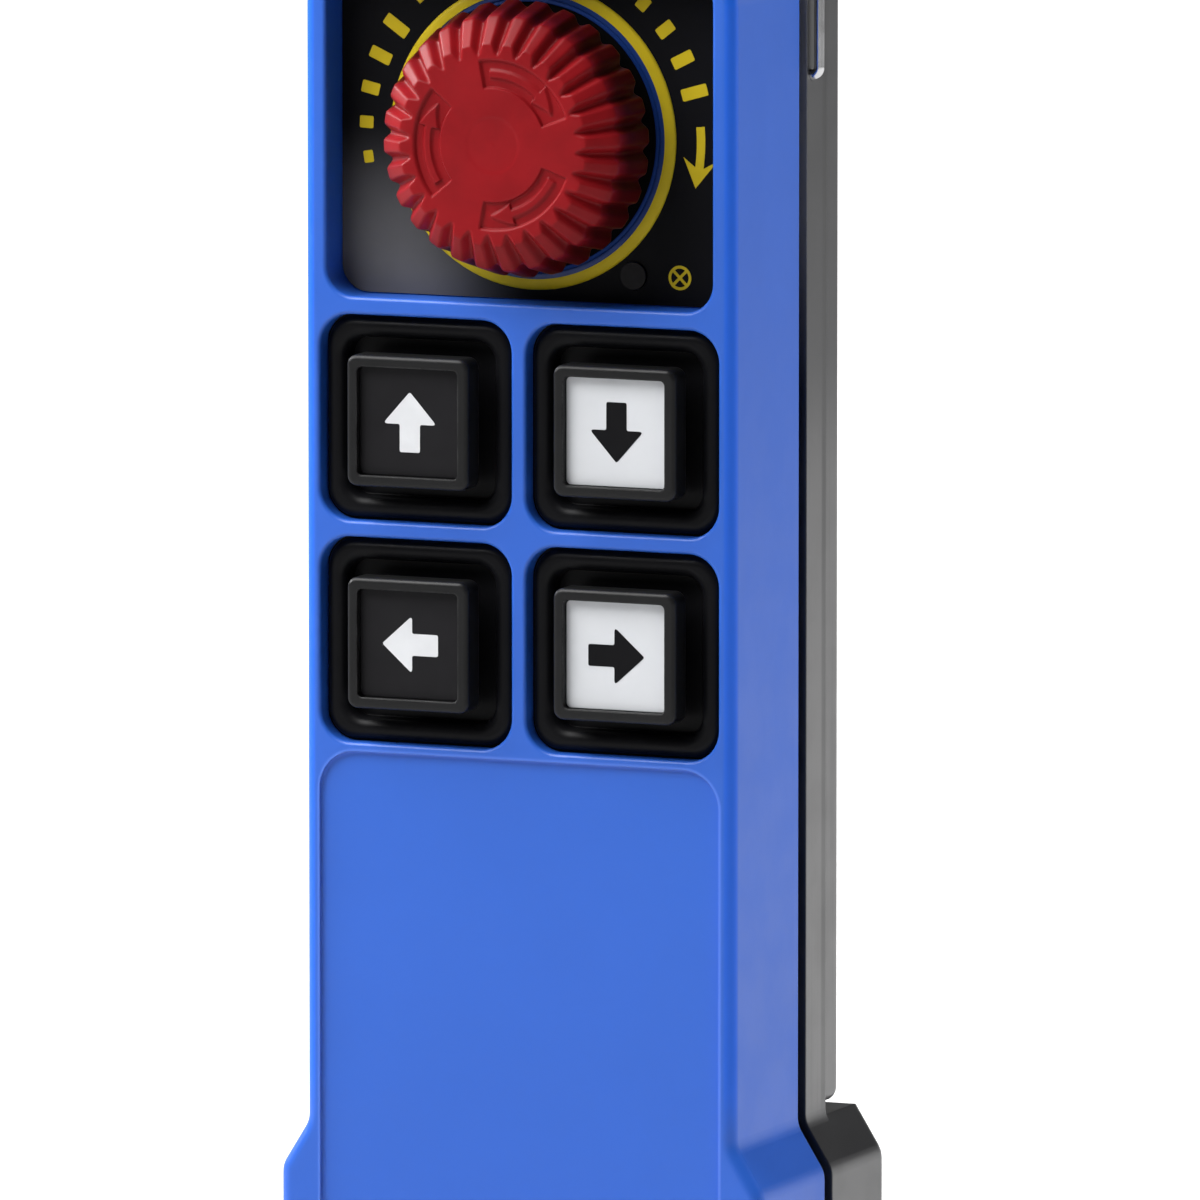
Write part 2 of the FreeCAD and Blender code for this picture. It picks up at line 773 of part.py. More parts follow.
def make_rear_casing():
    body = new_body("rear_casing")
    sketch = new_sketch(body, "rear_outline", step)
    casing_outline(sketch, "outer", ZERO)
    raise_pad(body, sketch, "rear_solid", d.rear_side)

    # Raised back of the grip
    sketch = new_sketch(body, "back_outline", back)
    half = d.grip_width / 2 - d.back_inset
    low = crease_height + d.back_foot_gap
    high = d.body_height - d.back_inset
    corner = d.top_corner - d.back_inset
    corners = [
        (-half, low, d.back_foot_round),
        (half, low, d.back_foot_round),
        (half, high, corner),
        (-half, high, corner),
    ]
    add_loop(sketch, "back", corners)
    raise_pad(body, sketch, "back_solid", d.back_raise)
    round_edges(body, "back_edge", d.back_round, lambda edge: at_depth(edge, back))

    # Foot
    sketch = new_sketch(body, "foot_outline", foot_back)
    foot_outline(sketch, "foot", ZERO, crease_height)
    raise_pad(body, sketch, "foot_solid", step - foot_back + d.rear_side / 2)
    round_edges(body, "foot_edge", d.foot_round, lambda edge: at_depth(edge, foot_back))

    # Hollows
    sketch = new_sketch(body, "rear_cavity", rear)
    casing_outline(sketch, "inner", d.wall)
    cut_pocket(body, sketch, "rear_hollow", rear - step - d.wall)
    sketch = new_sketch(body, "back_cavity", step + d.wall)
    half = half - d.wall
    add_box_loop(sketch, "back", -half, half, low + d.wall, high - d.wall, corner - d.wall)
    cut_pocket(body, sketch, "back_hollow", step - back)
    sketch = new_sketch(body, "foot_cavity", rear)
    foot_outline(sketch, "bay", d.wall, crease_height - d.wall)
    cut_pocket(body, sketch, "foot_hollow", rear - foot_back - d.foot_wall)

    # Door opening, and holes for the door pin and the bail
    sketch = new_sketch(body, "door_opening", foot_back)
    add_box_loop(sketch, "door", -door_half, door_half, d.door_low, door_high, ZERO)
    cut_pocket(body, sketch, "door_opening_cut", d.foot_wall, forward=True)
    sketch = new_sketch(body, "door_pin_hole", role="YZ_Plane")
    add_circle(sketch, "pin", -door_axis, door_axis_up, d.pin_radius + d.pin_clear)
    cut_pocket(body, sketch, "door_pin_cut", (door_half + d.pin_grip) * 2, both=True)
    sketch = new_sketch(body, "bail_hole", role="YZ_Plane")
    add_circle(sketch, "bail", -bail_depth, bail_up, d.bail_wire + d.bail_clear)
    cut_pocket(body, sketch, "bail_hole_cut", foot_width, both=True)

    # Screw tubes
    sketch = new_sketch(body, "rear_tubes", back + d.wall / 2)
    round_set(sketch, UPPER_BOSSES + LOWER_BOSSES[:2], d.boss_radius)
    raise_pad(body, sketch, "rear_tubes_solid", seam - d.boss_gap - back - d.wall / 2)
    sketch = new_sketch(body, "foot_tubes", foot_back + d.foot_wall / 2)
    round_set(sketch, LOWER_BOSSES[2:], d.boss_radius)
    raise_pad(body, sketch, "foot_tubes_solid", seam - d.boss_gap - foot_back - d.foot_wall / 2)
    sketch = new_sketch(body, "tube_holes", seam)
    round_set(sketch, BOSSES, d.screw_radius + d.shank_clear)
    cut_pocket(body, sketch, "tube_holes_cut", d.front_depth * 2)
    sketch = new_sketch(body, "tube_seats", seam - d.screw_seat)
    round_set(sketch, BOSSES, d.screw_head_radius + d.bore_clear)
    cut_pocket(body, sketch, "tube_seats_cut", d.front_depth * 2)
    keep(body, "rear_casing")


def make_gasket():
    body = new_body("casing_gasket")
    sketch = new_sketch(body, "gasket_band", rear)
    casing_outline(sketch, "outer", d.gasket_inset)
    casing_outline(sketch, "inner", d.gasket_inset + d.gasket_width)
    raise_pad(body, sketch, "gasket_solid", d.gasket_thick)
    keep(body, "casing_gasket")


def make_legend_plate():
    body = new_body("stop_legend_plate")
    sketch = new_sketch(body, "legend_outline", floor_front)
    gap = d.legend_clear
    add_box_loop(
        sketch,
        "plate",
        gap - pocket_half,
        pocket_half - gap,
        pocket_low + gap,
        pocket_high - gap,
        d.pocket_corner - gap,
    )
    add_circle(sketch, "ring", ZERO, stop_height, legend_bore)
    add_circle(sketch, "lens", lamp_side, lamp_up, d.lens_radius + d.lens_clear)
    raise_pad(body, sketch, "legend_solid", d.legend_thick)
    keep(body, "stop_legend_plate")


def make_indicator():
    lamp_top = board_front + d.lamp_height
    lamp = rod("indicator_lamp", d.lamp_radius, board_front, lamp_top, lamp_side, lamp_up)
    keep(lamp, "indicator_lamp")
    lens_top = legend_top + d.lens_rise
    lens = rod("indicator_lens", d.lens_radius, lamp_top, lens_top, lamp_side, lamp_up)
    keep(lens, "indicator_lens")


def make_key(place, across, up):
    """One key: rubber boot, cap with its stem, legend tile, switch plunger and switch."""
    # Boot
    body = new_body(f"key_boot_{place}")
    ridge_top = face - d.boot_sink
    floor_top = face - d.boot_floor_depth
    outer = well_size - d.boot_clear * 2
    sketch = new_sketch(body, f"boot_upstand_{place}", floor_top - d.boot_floor_thick)
    add_square(sketch, "upstand", across, up, outer, d.well_corner - d.boot_clear)
    raise_pad(body, sketch, f"boot_upstand_pad_{place}", ridge_top - floor_top + d.boot_floor_thick)
    sketch = new_sketch(body, f"boot_inside_{place}", ridge_top)
    inner = outer - d.boot_ridge * 2
    add_square(sketch, "inside", across, up, inner, d.well_corner - d.boot_clear - d.boot_ridge / 2)
    cut_pocket(body, sketch, f"boot_inside_cut_{place}", ridge_top - floor_top)
    round_edges(body, f"boot_ridge_{place}", d.boot_ridge_round, lambda edge: at_depth(edge, ridge_top))
    sketch = new_sketch(body, f"boot_flange_{place}", face_inner - d.boot_flange_thick)
    reach = well_size / 2 + d.boot_flange
    outside = d.grip_width / 2 - d.wall - d.boot_clear
    left, right = (across - reach, outside) if across.value > 0 else (-outside, across + reach)
    add_box_loop(sketch, "flange", left, right, up - reach, up + reach, d.well_corner)
    add_square(sketch, "hollow", across, up, outer - d.boot_ridge, d.well_corner - d.boot_ridge / 2)
    raise_pad(body, sketch, f"boot_flange_pad_{place}", d.boot_flange_thick)
    sketch = new_sketch(body, f"boot_sleeve_{place}", floor_top)
    add_circle(sketch, "sleeve", across, up, d.boot_sleeve_radius)
    raise_pad(body, sketch, f"boot_sleeve_pad_{place}", d.boot_sleeve_rise)
    sketch = new_sketch(body, f"boot_hole_{place}", floor_top + d.boot_sleeve_rise)
    add_circle(sketch, "hole", across, up, d.key_stem_radius + d.key_stem_clear)
    cut_pocket(body, sketch, f"boot_hole_cut_{place}", d.boot_sleeve_rise + d.boot_floor_thick)
    keep(body, f"key_boot_{place}")

    # Cap with its stem
    cap_top = face + d.cap_rise
    cap_low = floor_top + d.boot_sleeve_rise + d.key_travel + d.cap_spare
    cap_height = cap_top - cap_low
    switch_top = board_front + d.switch_height
    plunger_top = switch_top + d.key_travel + d.plunger_spare
    body = new_body(f"key_cap_{place}")
    sketch = new_sketch(body, f"cap_frame_{place}", cap_low)
    add_square(sketch, "frame", across, up, cap_size, d.cap_corner)
    raise_pad(body, sketch, f"cap_frame_pad_{place}", cap_height)
    round_edges(body, f"cap_edge_{place}", d.cap_edge, lambda edge: at_depth(edge, cap_top))
    sketch = new_sketch(body, f"cap_seat_{place}", cap_top)
    add_square(sketch, "seat", across, up, tile_size + d.tile_clear * 2, d.tile_corner)
    cut_pocket(body, sketch, f"cap_seat_cut_{place}", d.tile_sink + d.tile_thick)
    sketch = new_sketch(body, f"cap_stem_{place}", plunger_top)
    add_circle(sketch, "stem", across, up, d.key_stem_radius)
    raise_pad(body, sketch, f"cap_stem_pad_{place}", cap_low - plunger_top + cap_height / 4)
    keep(body, f"key_cap_{place}")

    # Tile
    body = new_body(f"key_tile_{place}")
    tile_top = cap_top - d.tile_sink
    sketch = new_sketch(body, f"tile_face_{place}", tile_top - d.tile_thick)
    add_square(sketch, "tile", across, up, tile_size, d.tile_corner)
    raise_pad(body, sketch, f"tile_pad_{place}", d.tile_thick)
    keep(body, f"key_tile_{place}")

    # Plunger and switch
    name = f"key_plunger_{place}"
    keep(rod(name, d.plunger_radius, plunger_top - d.plunger_length, plunger_top, across, up), name)
    half = d.switch_size / 2
    shell = block(
        f"switch_shell_{place}", across - half, across + half, board_front, switch_top, up - half, up + half
    )
    bore = rod(
        f"switch_bore_{place}",
        d.plunger_radius + d.plunger_clear,
        board_front + d.switch_floor,
        switch_top,
        across,
        up,
    )
    keep(cut(f"key_switch_{place}", shell, bore), f"key_switch_{place}")


# Levels and radii of the stop button
seal_top = floor_front + d.seal_thick
flange_top = seal_top + d.flange_thick
neck_low = seal_top - d.neck_length
stem_radius = d.neck_radius - d.neck_wall - d.stem_clear


def make_stop_fixed():
    """The parts of the stop button that are fixed in the casing."""
    centre = (ZERO, stop_height)

    outside = rod("seal_outside", ring_inner - d.seal_gap, floor_front, seal_top, *centre)
    inside_seal = rod("seal_inside", d.neck_radius + d.neck_clear, floor_front, seal_top, *centre)
    keep(cut("stop_seal", outside, inside_seal), "stop_seal")

    flange = rod("collar_flange", d.neck_radius + d.flange_lip, seal_top, flange_top, *centre)
    neck = rod("collar_neck", d.neck_radius, neck_low, flange_top, *centre)
    bore = rod("collar_bore", stem_radius + d.stem_clear, neck_low, flange_top, *centre)
    keep(cut("stop_collar", fuse("collar_solid", [flange, neck]), bore), "stop_collar")

    prism = axial("nut_prism", "Part::Prism", floor_back - d.nut_thick, floor_back, *centre)
    prism.Polygon = 6
    bind(prism, "Circumradius", (d.neck_radius + d.nut_wall) * 2 / as_size(3).root())
    thread = rod("nut_thread", d.neck_radius + d.nut_clear, floor_back - d.nut_thick, floor_back, *centre)
    keep(cut("stop_nut", prism, thread), "stop_nut")

    half = d.block_size / 2
    low = stop_height - half
    high = stop_height + half
    shell = block("block_shell", -half, half, neck_low - d.block_depth, neck_low, low, high)
    well_radius = stem_radius + d.block_clear
    well = rod("block_well_bore", well_radius, neck_low - d.stop_travel, neck_low, *centre)
    keep(cut("stop_contact_block", shell, well), "stop_contact_block")


def make_stop_moving():
    """The stem that is pushed in, and the fluted head that is turned to let it out."""
    head_low = legend_top + d.stop_travel + d.head_gap
    head_top = legend_top + d.head_rise
    shaft_top = flange_top + d.stop_travel + d.hub_gap
    spigot_radius = stem_radius - d.spigot_step
    centre = (ZERO, stop_height)
    shaft = rod("stem_shaft", stem_radius, neck_low + d.stem_over, shaft_top, *centre)
    spigot = rod("stem_spigot", spigot_radius, shaft_top, shaft_top + d.spigot_length, *centre)
    keep(fuse("stop_stem", [shaft, spigot]), "stop_stem")

    body = new_body("stop_head")
    bind(body, "Placement.Base.z", stop_height)
    hub_low = shaft_top + d.spigot_gap
    hollow_top = head_low + d.head_hollow_depth
    bore_top = shaft_top + d.spigot_length + d.spigot_gap
    bore_radius = spigot_radius + d.spigot_clear
    hub_radius = spigot_radius + d.hub_wall
    hollow_radius = d.head_radius - d.head_wall
    brow_depth = head_top - d.bevel_depth
    face_radius = brow_radius - d.bevel_width
    profile = [
        (ZERO, -head_top, ZERO),
        (ZERO, -bore_top, ZERO),
        (bore_radius, -bore_top, ZERO),
        (bore_radius, -hub_low, ZERO),
        (hub_radius, -hub_low, ZERO),
        (hub_radius, -hollow_top, ZERO),
        (hollow_radius, -hollow_top, ZERO),
        (hollow_radius, -head_low, ZERO),
        (d.head_radius, -head_low, ZERO),
        (brow_radius, -brow_depth, d.brow_round),
        (face_radius, -head_top, d.head_face_round),
    ]
    sketch = new_sketch(body, "head_profile", role="XY_Plane")
    add_loop(sketch, "half", profile)
    turned = body.newObject("PartDesign::Revolution", "head_turned")
    turned.Profile = sketch
    turned.ReferenceAxis = (sketch, ["V_Axis"])
    turned.Angle = 360
    doc.recompute()

    # Sunk tracks in the face
    track = new_sketch(body, "track_section", role="XY_Plane")
    track_low = head_top - d.track_depth
    track_high = head_top + d.track_depth
    corners = [
        (-d.track_inner, -track_low, ZERO),
        (-d.track_outer, -track_low, ZERO),
        (-d.track_outer, -track_high, ZERO),
        (-d.track_inner, -track_high, ZERO),
    ]
    add_loop(track, "track", corners)
    groove = body.newObject("PartDesign::Groove", "track")
    groove.Profile = track
    groove.ReferenceAxis = (track, ["V_Axis"])
    groove.Midplane = True
    bind(groove, "Angle", d.track_span)
    doc.recompute()
    repeat_round(body, groove, sketch, "tracks", TRACKS)

    # One flute down the side and over the bevel, repeated round the head
    flute_side = d.head_radius + d.flute_offset
    flute_brow = brow_radius + d.flute_offset
    start_depth = head_low - d.flute_radius * 2
    end_radius = flute_brow - d.bevel_width * d.flute_run
    end_depth = brow_depth + d.bevel_depth * d.flute_run
    path = new_sketch(body, "flute_path", role="XY_Plane")
    corners = [(flute_side, -start_depth), (flute_brow, -brow_depth), (end_radius, -end_depth)]
    add_bent_line(path, corners, [None, d.flute_bend, None])
    section = new_sketch(body, "flute_section", start_depth)
    add_circle(section, "flute", flute_side, ZERO, d.flute_radius)
    doc.recompute()
    flute = body.newObject("PartDesign::SubtractivePipe", "flute")
    flute.Profile = section
    flute.Spine = path
    doc.recompute()
    repeat_round(body, flute, sketch, "flutes", FLUTES)
    keep(body, "stop_head")


def make_board():
    body = new_body("main_board")
    sketch = new_sketch(body, "board_outline", board_back)
    add_box_loop(sketch, "board", -board_half, board_half, board_low, board_high, d.board_corner)
    round_set(sketch, POSTS, d.board_screw_radius + d.board_screw_clear)
    raise_pad(body, sketch, "board_solid", d.board_thick)
    keep(body, "main_board")

    screws = []
    for name, across, up in POSTS:
        shank_top = board_back + d.board_screw_length
        shank = rod(f"board_shank_{name}", d.board_screw_radius, board_back, shank_top, across, up)
        cap_low = board_back - d.board_screw_cap
        cap = rod(f"board_cap_{name}", d.board_screw_head, cap_low, board_back, across, up)
        screws.append(fuse(f"board_screw_{name}", [shank, cap]))
    keep(group("board_screws", screws), "board_screws")

    half = d.radio_width / 2
    low = (board_low + board_high - d.radio_height) / 2
    high = low + d.radio_height
    module = block("radio_module", -half, half, board_back - d.radio_thick, board_back, low, high)
    keep(module, "radio_module")

    aerial = doc.addObject("Part::Cylinder", "antenna")
    bind(aerial, "Radius", d.aerial_radius)
    bind(aerial, "Height", d.aerial_length)
    bind(aerial, "Placement.Base.y", d.aerial_radius - board_back)
    bind(aerial, "Placement.Base.z", high + d.aerial_gap)
    keep(aerial, "antenna")


def make_casing_screws():
    seat = seam - d.screw_seat
    screws = []
    for name, across, up in BOSSES:
        shank = rod(f"screw_shank_{name}", d.screw_radius, seat, seat + d.screw_length, across, up)
        cap = rod(f"screw_cap_{name}", d.screw_head_radius, seat - d.screw_head_height, seat, across, up)
        screws.append(fuse(f"screw_{name}", [shank, cap]))
    keep(group("casing_screws", screws), "casing_screws")


def make_bail():
    """Steel wire bent to a bail whose ends turn in the sides of the rear casing."""
    side = d.grip_width / 2 + d.bail_gap + d.bail_bend
    inner = d.grip_width / 2 - d.bail_reach
    top = d.body_height + d.bail_over
    body = new_body("strap_bail")
    path = new_sketch(body, "bail_path", bail_depth)
    corners = [
        (inner, bail_up),
        (side, bail_up),
        (side, top),
        (-side, top),
        (-side, bail_up),
        (-inner, bail_up),
    ]
    add_bent_line(path, corners, [None, d.bail_bend, d.bail_corner, d.bail_corner, d.bail_bend, None])
    section = new_sketch(body, "bail_section", inner, role="YZ_Plane")
    add_circle(section, "wire", -bail_depth, bail_up, d.bail_wire)
    doc.recompute()
    wire = body.newObject("PartDesign::AdditivePipe", "bail_wire_sweep")
    wire.Profile = section
    wire.Spine = path
    doc.recompute()
    keep(body, "strap_bail")


# Battery foot
door_half = foot_width / 2 - d.door_side
door_high = crease_height - d.door_head
door_axis = foot_back + d.barrel_radius
door_axis_up = d.door_low + d.door_clear + d.barrel_radius
tray_half = door_half - d.tray_side
tray_inner = tray_half - d.tray_wall
cell_middle = (d.wall + tray_top) / 2
CELLS = [
    ("1", 1, cell_front, cell_middle + cell_pitch / 2),
    ("2", -1, cell_front, cell_middle - cell_pitch / 2),
    ("3", -1, cell_front - cell_pitch, cell_middle + cell_pitch / 2),
    ("4", 1, cell_front - cell_pitch, cell_middle - cell_pitch / 2),
]


def make_battery():
    low = d.wall
    shell = block("tray_shell", -tray_half, tray_half, tray_back, tray_front, low, tray_top)
    hollow = block(
        "tray_hollow",
        -tray_inner,
        tray_inner,
        tray_back,
        tray_front - d.tray_wall,
        low + d.tray_wall,
        tray_top - d.tray_wall,
    )
    keep(cut("battery_tray", shell, hollow), "battery_tray")

    plate = tray_inner - d.strip_thick
    half = plate - d.strip_spring - d.cell_cap
    bumps = {-1: [], 1: []}
    for number, way, depth, up in CELLS:
        can = cross_rod(f"cell_can_{number}", d.cell_radius, -half, half, depth, up)
        if way > 0:
            cap = cross_rod(f"cell_cap_{number}", d.cell_cap_radius, half, half + d.cell_cap, depth, up)
        else:
            cap = cross_rod(f"cell_cap_{number}", d.cell_cap_radius, -half - d.cell_cap, -half, depth, up)
        keep(fuse(f"battery_cell_{number}", [can, cap]), f"battery_cell_{number}")
        for side in (-1, 1):
            reach = plate - half
            if side == way:
                reach = reach - d.cell_cap
            bump = doc.addObject("Part::Cone", f"strip_bump_{number}_{'right' if side > 0 else 'left'}")
            turn = FreeCAD.Rotation(FreeCAD.Vector(0, 1, 0), -90 * side)
            bump.Placement = FreeCAD.Placement(FreeCAD.Vector(0, 0, 0), turn)
            bind(bump, "Radius1", d.strip_bump_radius)
            bind(bump, "Radius2", d.strip_tip_radius)
            bind(bump, "Height", reach)
            bind(bump, "Placement.Base.x", plate * side)
            bind(bump, "Placement.Base.y", -depth)
            bind(bump, "Placement.Base.z", up)
            bumps[side].append(bump)

    low = d.wall + d.tray_wall + d.strip_gap
    high = tray_top - d.tray_wall - d.strip_gap
    back_end = tray_back + d.strip_gap
    front_end = tray_front - d.tray_wall - d.strip_gap
    left = block("strip_left", -tray_inner, -plate, back_end, front_end, low, high)
    keep(fuse("contact_strip_left", [left] + bumps[-1]), "contact_strip_left")
    right = block("strip_right", plate, tray_inner, back_end, front_end, low, high)
    keep(fuse("contact_strip_right", [right] + bumps[1]), "contact_strip_right")


def make_door():
    """Battery door on a pin along its lower edge."""
    half = door_half - d.door_clear
    high = door_high - d.door_clear
    body = new_body("battery_door")
    sketch = new_sketch(body, "door_outline", foot_back)
    corners = [
        (-half, door_axis_up, ZERO),
        (half, door_axis_up, ZERO),
        (half, high, d.door_corner),
        (-half, high, d.door_corner),
    ]
    add_loop(sketch, "door", corners)
    raise_pad(body, sketch, "door_plate", d.door_thick)
    sketch = new_sketch(body, "door_barrel", -half, role="YZ_Plane")
    add_circle(sketch, "barrel", -door_axis, door_axis_up, d.barrel_radius)
    raise_pad(body, sketch, "door_barrel_solid", half * 2)
    sketch = new_sketch(body, "door_bore", role="YZ_Plane")
    add_circle(sketch, "bore", -door_axis, door_axis_up, d.pin_radius + d.pin_clear)
    cut_pocket(body, sketch, "door_bore_cut", half * 4, both=True)
    sketch = new_sketch(body, "door_notch", foot_back)
    reach = d.notch_width / 2
    add_box_loop(sketch, "notch", -reach, reach, high - d.notch_height, high + d.notch_height, ZERO)
    cut_pocket(body, sketch, "door_notch_cut", d.notch_depth, forward=True)
    keep(body, "battery_door")

    body = new_body("door_seal")
    sketch = new_sketch(body, "door_seal_band", foot_back + d.door_thick)
    outer = half - d.door_seal_inset
    inner = outer - d.door_seal_width
    top = high - d.door_seal_inset
    low = door_axis_up + d.door_seal_rise
    add_box_loop(sketch, "outer", -outer, outer, low, top, d.door_corner)
    width = d.door_seal_width
    add_box_loop(sketch, "inner", -inner, inner, low + width, top - width, d.door_corner - width / 2)
    raise_pad(body, sketch, "door_seal_solid", d.door_seal_thick)
    keep(body, "door_seal")

    reach = door_half + d.pin_grip - d.pin_clear
    keep(cross_rod("door_hinge_pin", d.pin_radius, -reach, reach, door_axis, door_axis_up), "door_hinge_pin")


make_front_casing()
make_rear_casing()
make_gasket()
make_legend_plate()
make_indicator()
for key_name, key_across, key_up in KEYS:
    make_key(key_name, key_across, key_up)
make_stop_fixed()
make_stop_moving()
make_board()
make_casing_screws()
make_bail()
make_battery()
make_door()
doc.recompute()

for item in doc.Objects:
    if "Invalid" in item.State or "Error" in item.State:
        raise RuntimeError(f"{item.Label} could not be built: {item.State}")
for item in NODES:
    if item.Shape.isNull() or not item.Shape.isValid() or not item.Shape.Solids:
        raise RuntimeError(f"{item.Label} is not a sound solid")

os.makedirs("parts", exist_ok=True)
for item in NODES:
    item.Shape.exportStep(f"parts/{item.Label}.step")
    box = item.Shape.BoundBox
    print(
        item.Label,
        len(item.Shape.Solids),
        f"{item.Shape.Volume:.1f}",
        f"x {box.XMin:.2f} {box.XMax:.2f} y {box.YMin:.2f} {box.YMax:.2f} z {box.ZMin:.2f} {box.ZMax:.2f}",
    )
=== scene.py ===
import math

import bmesh
import bpy
from bpy.props import FloatProperty, FloatVectorProperty, IntProperty, PointerProperty
from bpy.types import Operator, Panel, PropertyGroup
from mathutils import Matrix, Vector


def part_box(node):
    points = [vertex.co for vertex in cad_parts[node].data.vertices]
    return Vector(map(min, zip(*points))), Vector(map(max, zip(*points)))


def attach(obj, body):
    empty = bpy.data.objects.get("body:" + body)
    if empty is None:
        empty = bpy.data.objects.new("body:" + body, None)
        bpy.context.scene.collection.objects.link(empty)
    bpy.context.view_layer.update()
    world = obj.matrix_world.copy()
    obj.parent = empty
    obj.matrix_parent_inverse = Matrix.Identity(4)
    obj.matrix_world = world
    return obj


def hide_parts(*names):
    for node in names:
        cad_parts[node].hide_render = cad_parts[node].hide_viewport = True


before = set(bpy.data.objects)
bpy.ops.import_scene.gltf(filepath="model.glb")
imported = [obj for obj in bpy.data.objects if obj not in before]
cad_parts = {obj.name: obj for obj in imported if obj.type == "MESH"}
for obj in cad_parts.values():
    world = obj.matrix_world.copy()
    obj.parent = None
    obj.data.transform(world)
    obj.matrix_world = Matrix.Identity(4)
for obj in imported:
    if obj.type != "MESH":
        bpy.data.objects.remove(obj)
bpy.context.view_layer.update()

bl_info = {
    "name": "Crane remote dressing",
    "version": (1, 0, 0),
    "blender": (4, 5, 0),
    "location": "3D View > Sidebar > Remote",
    "description": "Finishes, legends, stop head and screws of a crane remote, and its studio",
    "category": "Object",
}

MM = 0.001
TURN = 2 * math.pi
TOUCH = 1e-7
CORNER_SHARE = 0.45
SIGN_SINK = 0.05 * MM
# Painted shade: a dark blue for the casing round the stop head and for its bezel, where the head's shadow
# falls.
SHADED_BLUE = (0.006, 0.032, 0.17)
WHITE = (1.0, 1.0, 1.0)
PLACES = ("upper_left", "upper_right", "lower_left", "lower_right")
CELLS = ("1", "2", "3", "4")


def number(name, description, default, **kind):
    return FloatProperty(name=name, description=description, default=default, **kind)


def length(name, description, millimetres):
    return number(name, description, millimetres * MM, unit="LENGTH", precision=5)


def angle(name, description, degrees):
    return number(name, description, math.radians(degrees), subtype="ANGLE")


def share(name, description, default):
    return number(name, description, default, min=0, max=1, subtype="FACTOR")


def tint(name, description, colour):
    return FloatVectorProperty(
        name=name, description=description, default=colour, size=3, min=0, max=1, subtype="COLOR"
    )


# Sizes and colours that a user may change


class ShellLooks(PropertyGroup):
    blue: tint("Blue shell", "Colour of the front casing", (0.022, 0.118, 0.575))
    grey: tint("Grey shell", "Colour of the rear casing and the battery door", (0.018, 0.018, 0.0205))
    gloss: share("Shell roughness", "Roughness of the moulded shells", 0.36)
    grain: length("Grain", "Size of the moulding grain", 0.35)
    grain_depth: length("Grain depth", "Depth of the moulding grain", 0.006)


class StopLooks(PropertyGroup):
    red: tint("Stop red", "Colour of the stop head", (0.24, 0.007, 0.01))
    yellow: tint("Legend yellow", "Ink of the ring and the marks", (0.52, 0.385, 0.012))
    teeth: IntProperty(name="Teeth", description="Rounded teeth round the stop head", default=28, min=8)
    tooth_depth: length("Tooth depth", "Depth of the grooves between the teeth", 1.15)
    taper: length("Taper", "Radius lost from the rim to the brow", 1.75)
    bevel_depth: length("Bevel depth", "Depth from the face to the brow", 3.5)
    bevel_width: length("Bevel width", "Width from the face to the brow", 4.15)
    track_inner: length("Track inner radius", "Inner radius of the sunk tracks", 8.7)
    track_outer: length("Track outer radius", "Outer radius of the sunk tracks", 13.2)
    track_depth: length("Track depth", "Depth of the sunk tracks", 0.5)
    track_span: angle("Track span", "Angle that one track takes", 80)
    ring_inner: length("Ring inner radius", "Inner radius of the yellow ring", 22.2)
    ring_width: length("Ring width", "Width of the yellow ring", 1.7)
    bezel_width: length("Bezel width", "Width of the blue bezel in the ring", 1.5)
    mark_radius: length("Mark radius", "Radius of the turn bars and arrows", 28.0)


class KeyLooks(PropertyGroup):
    black: tint("Key black", "Colour of the key caps", (0.011, 0.011, 0.0115))
    rubber: tint("Boot rubber", "Colour of the key boots", (0.004, 0.004, 0.005))
    tile_black: tint("Black tile", "Colour of the left tiles", (0.011, 0.0105, 0.012))
    tile_white: tint("White tile", "Colour of the right tiles", (0.65, 0.665, 0.69))
    arrow_span: length("Arrow length", "Length of the arrow on a tile", 9.4)
    arrow_width: length("Arrow width", "Width of the arrow head on a tile", 9.0)
    arrow_stem: length("Arrow stem", "Width of the arrow stem on a tile", 3.4)


class StageLooks(PropertyGroup):
    azimuth: angle("Azimuth", "Camera from the front to the right", 23.0)
    elevation: angle("Elevation", "Camera above the level", 7.4)
    distance: length("Distance", "Camera to the point that it looks at", 3000)
    view_width: length("View width", "Width of the picture at that point", 184.6)
    key_power: number("Key lamp", "Power of the key lamp", 28.0, unit="POWER")
    side_power: number("Side lamp", "Power of the lamp behind", 10.5, unit="POWER")
    rim_power: number("Rim lamp", "Power of the lamp at the left", 14.0, unit="POWER")
    ambient: share("Ambient", "Grey light from all round", 0.15)


# Shader groups


FLOAT, COLOUR, VECTOR = "NodeSocketFloat", "NodeSocketColor", "NodeSocketVector"
# Parts of the noise that are spread over the whole range of a mask
PATCH_RANGE = (0.32, 0.68)
MARK_RANGE = (0.35, 0.65)
# Cosine between a face and its rounded normal, from plain to fully rubbed
RUB_RANGE = (0.99, 0.75)


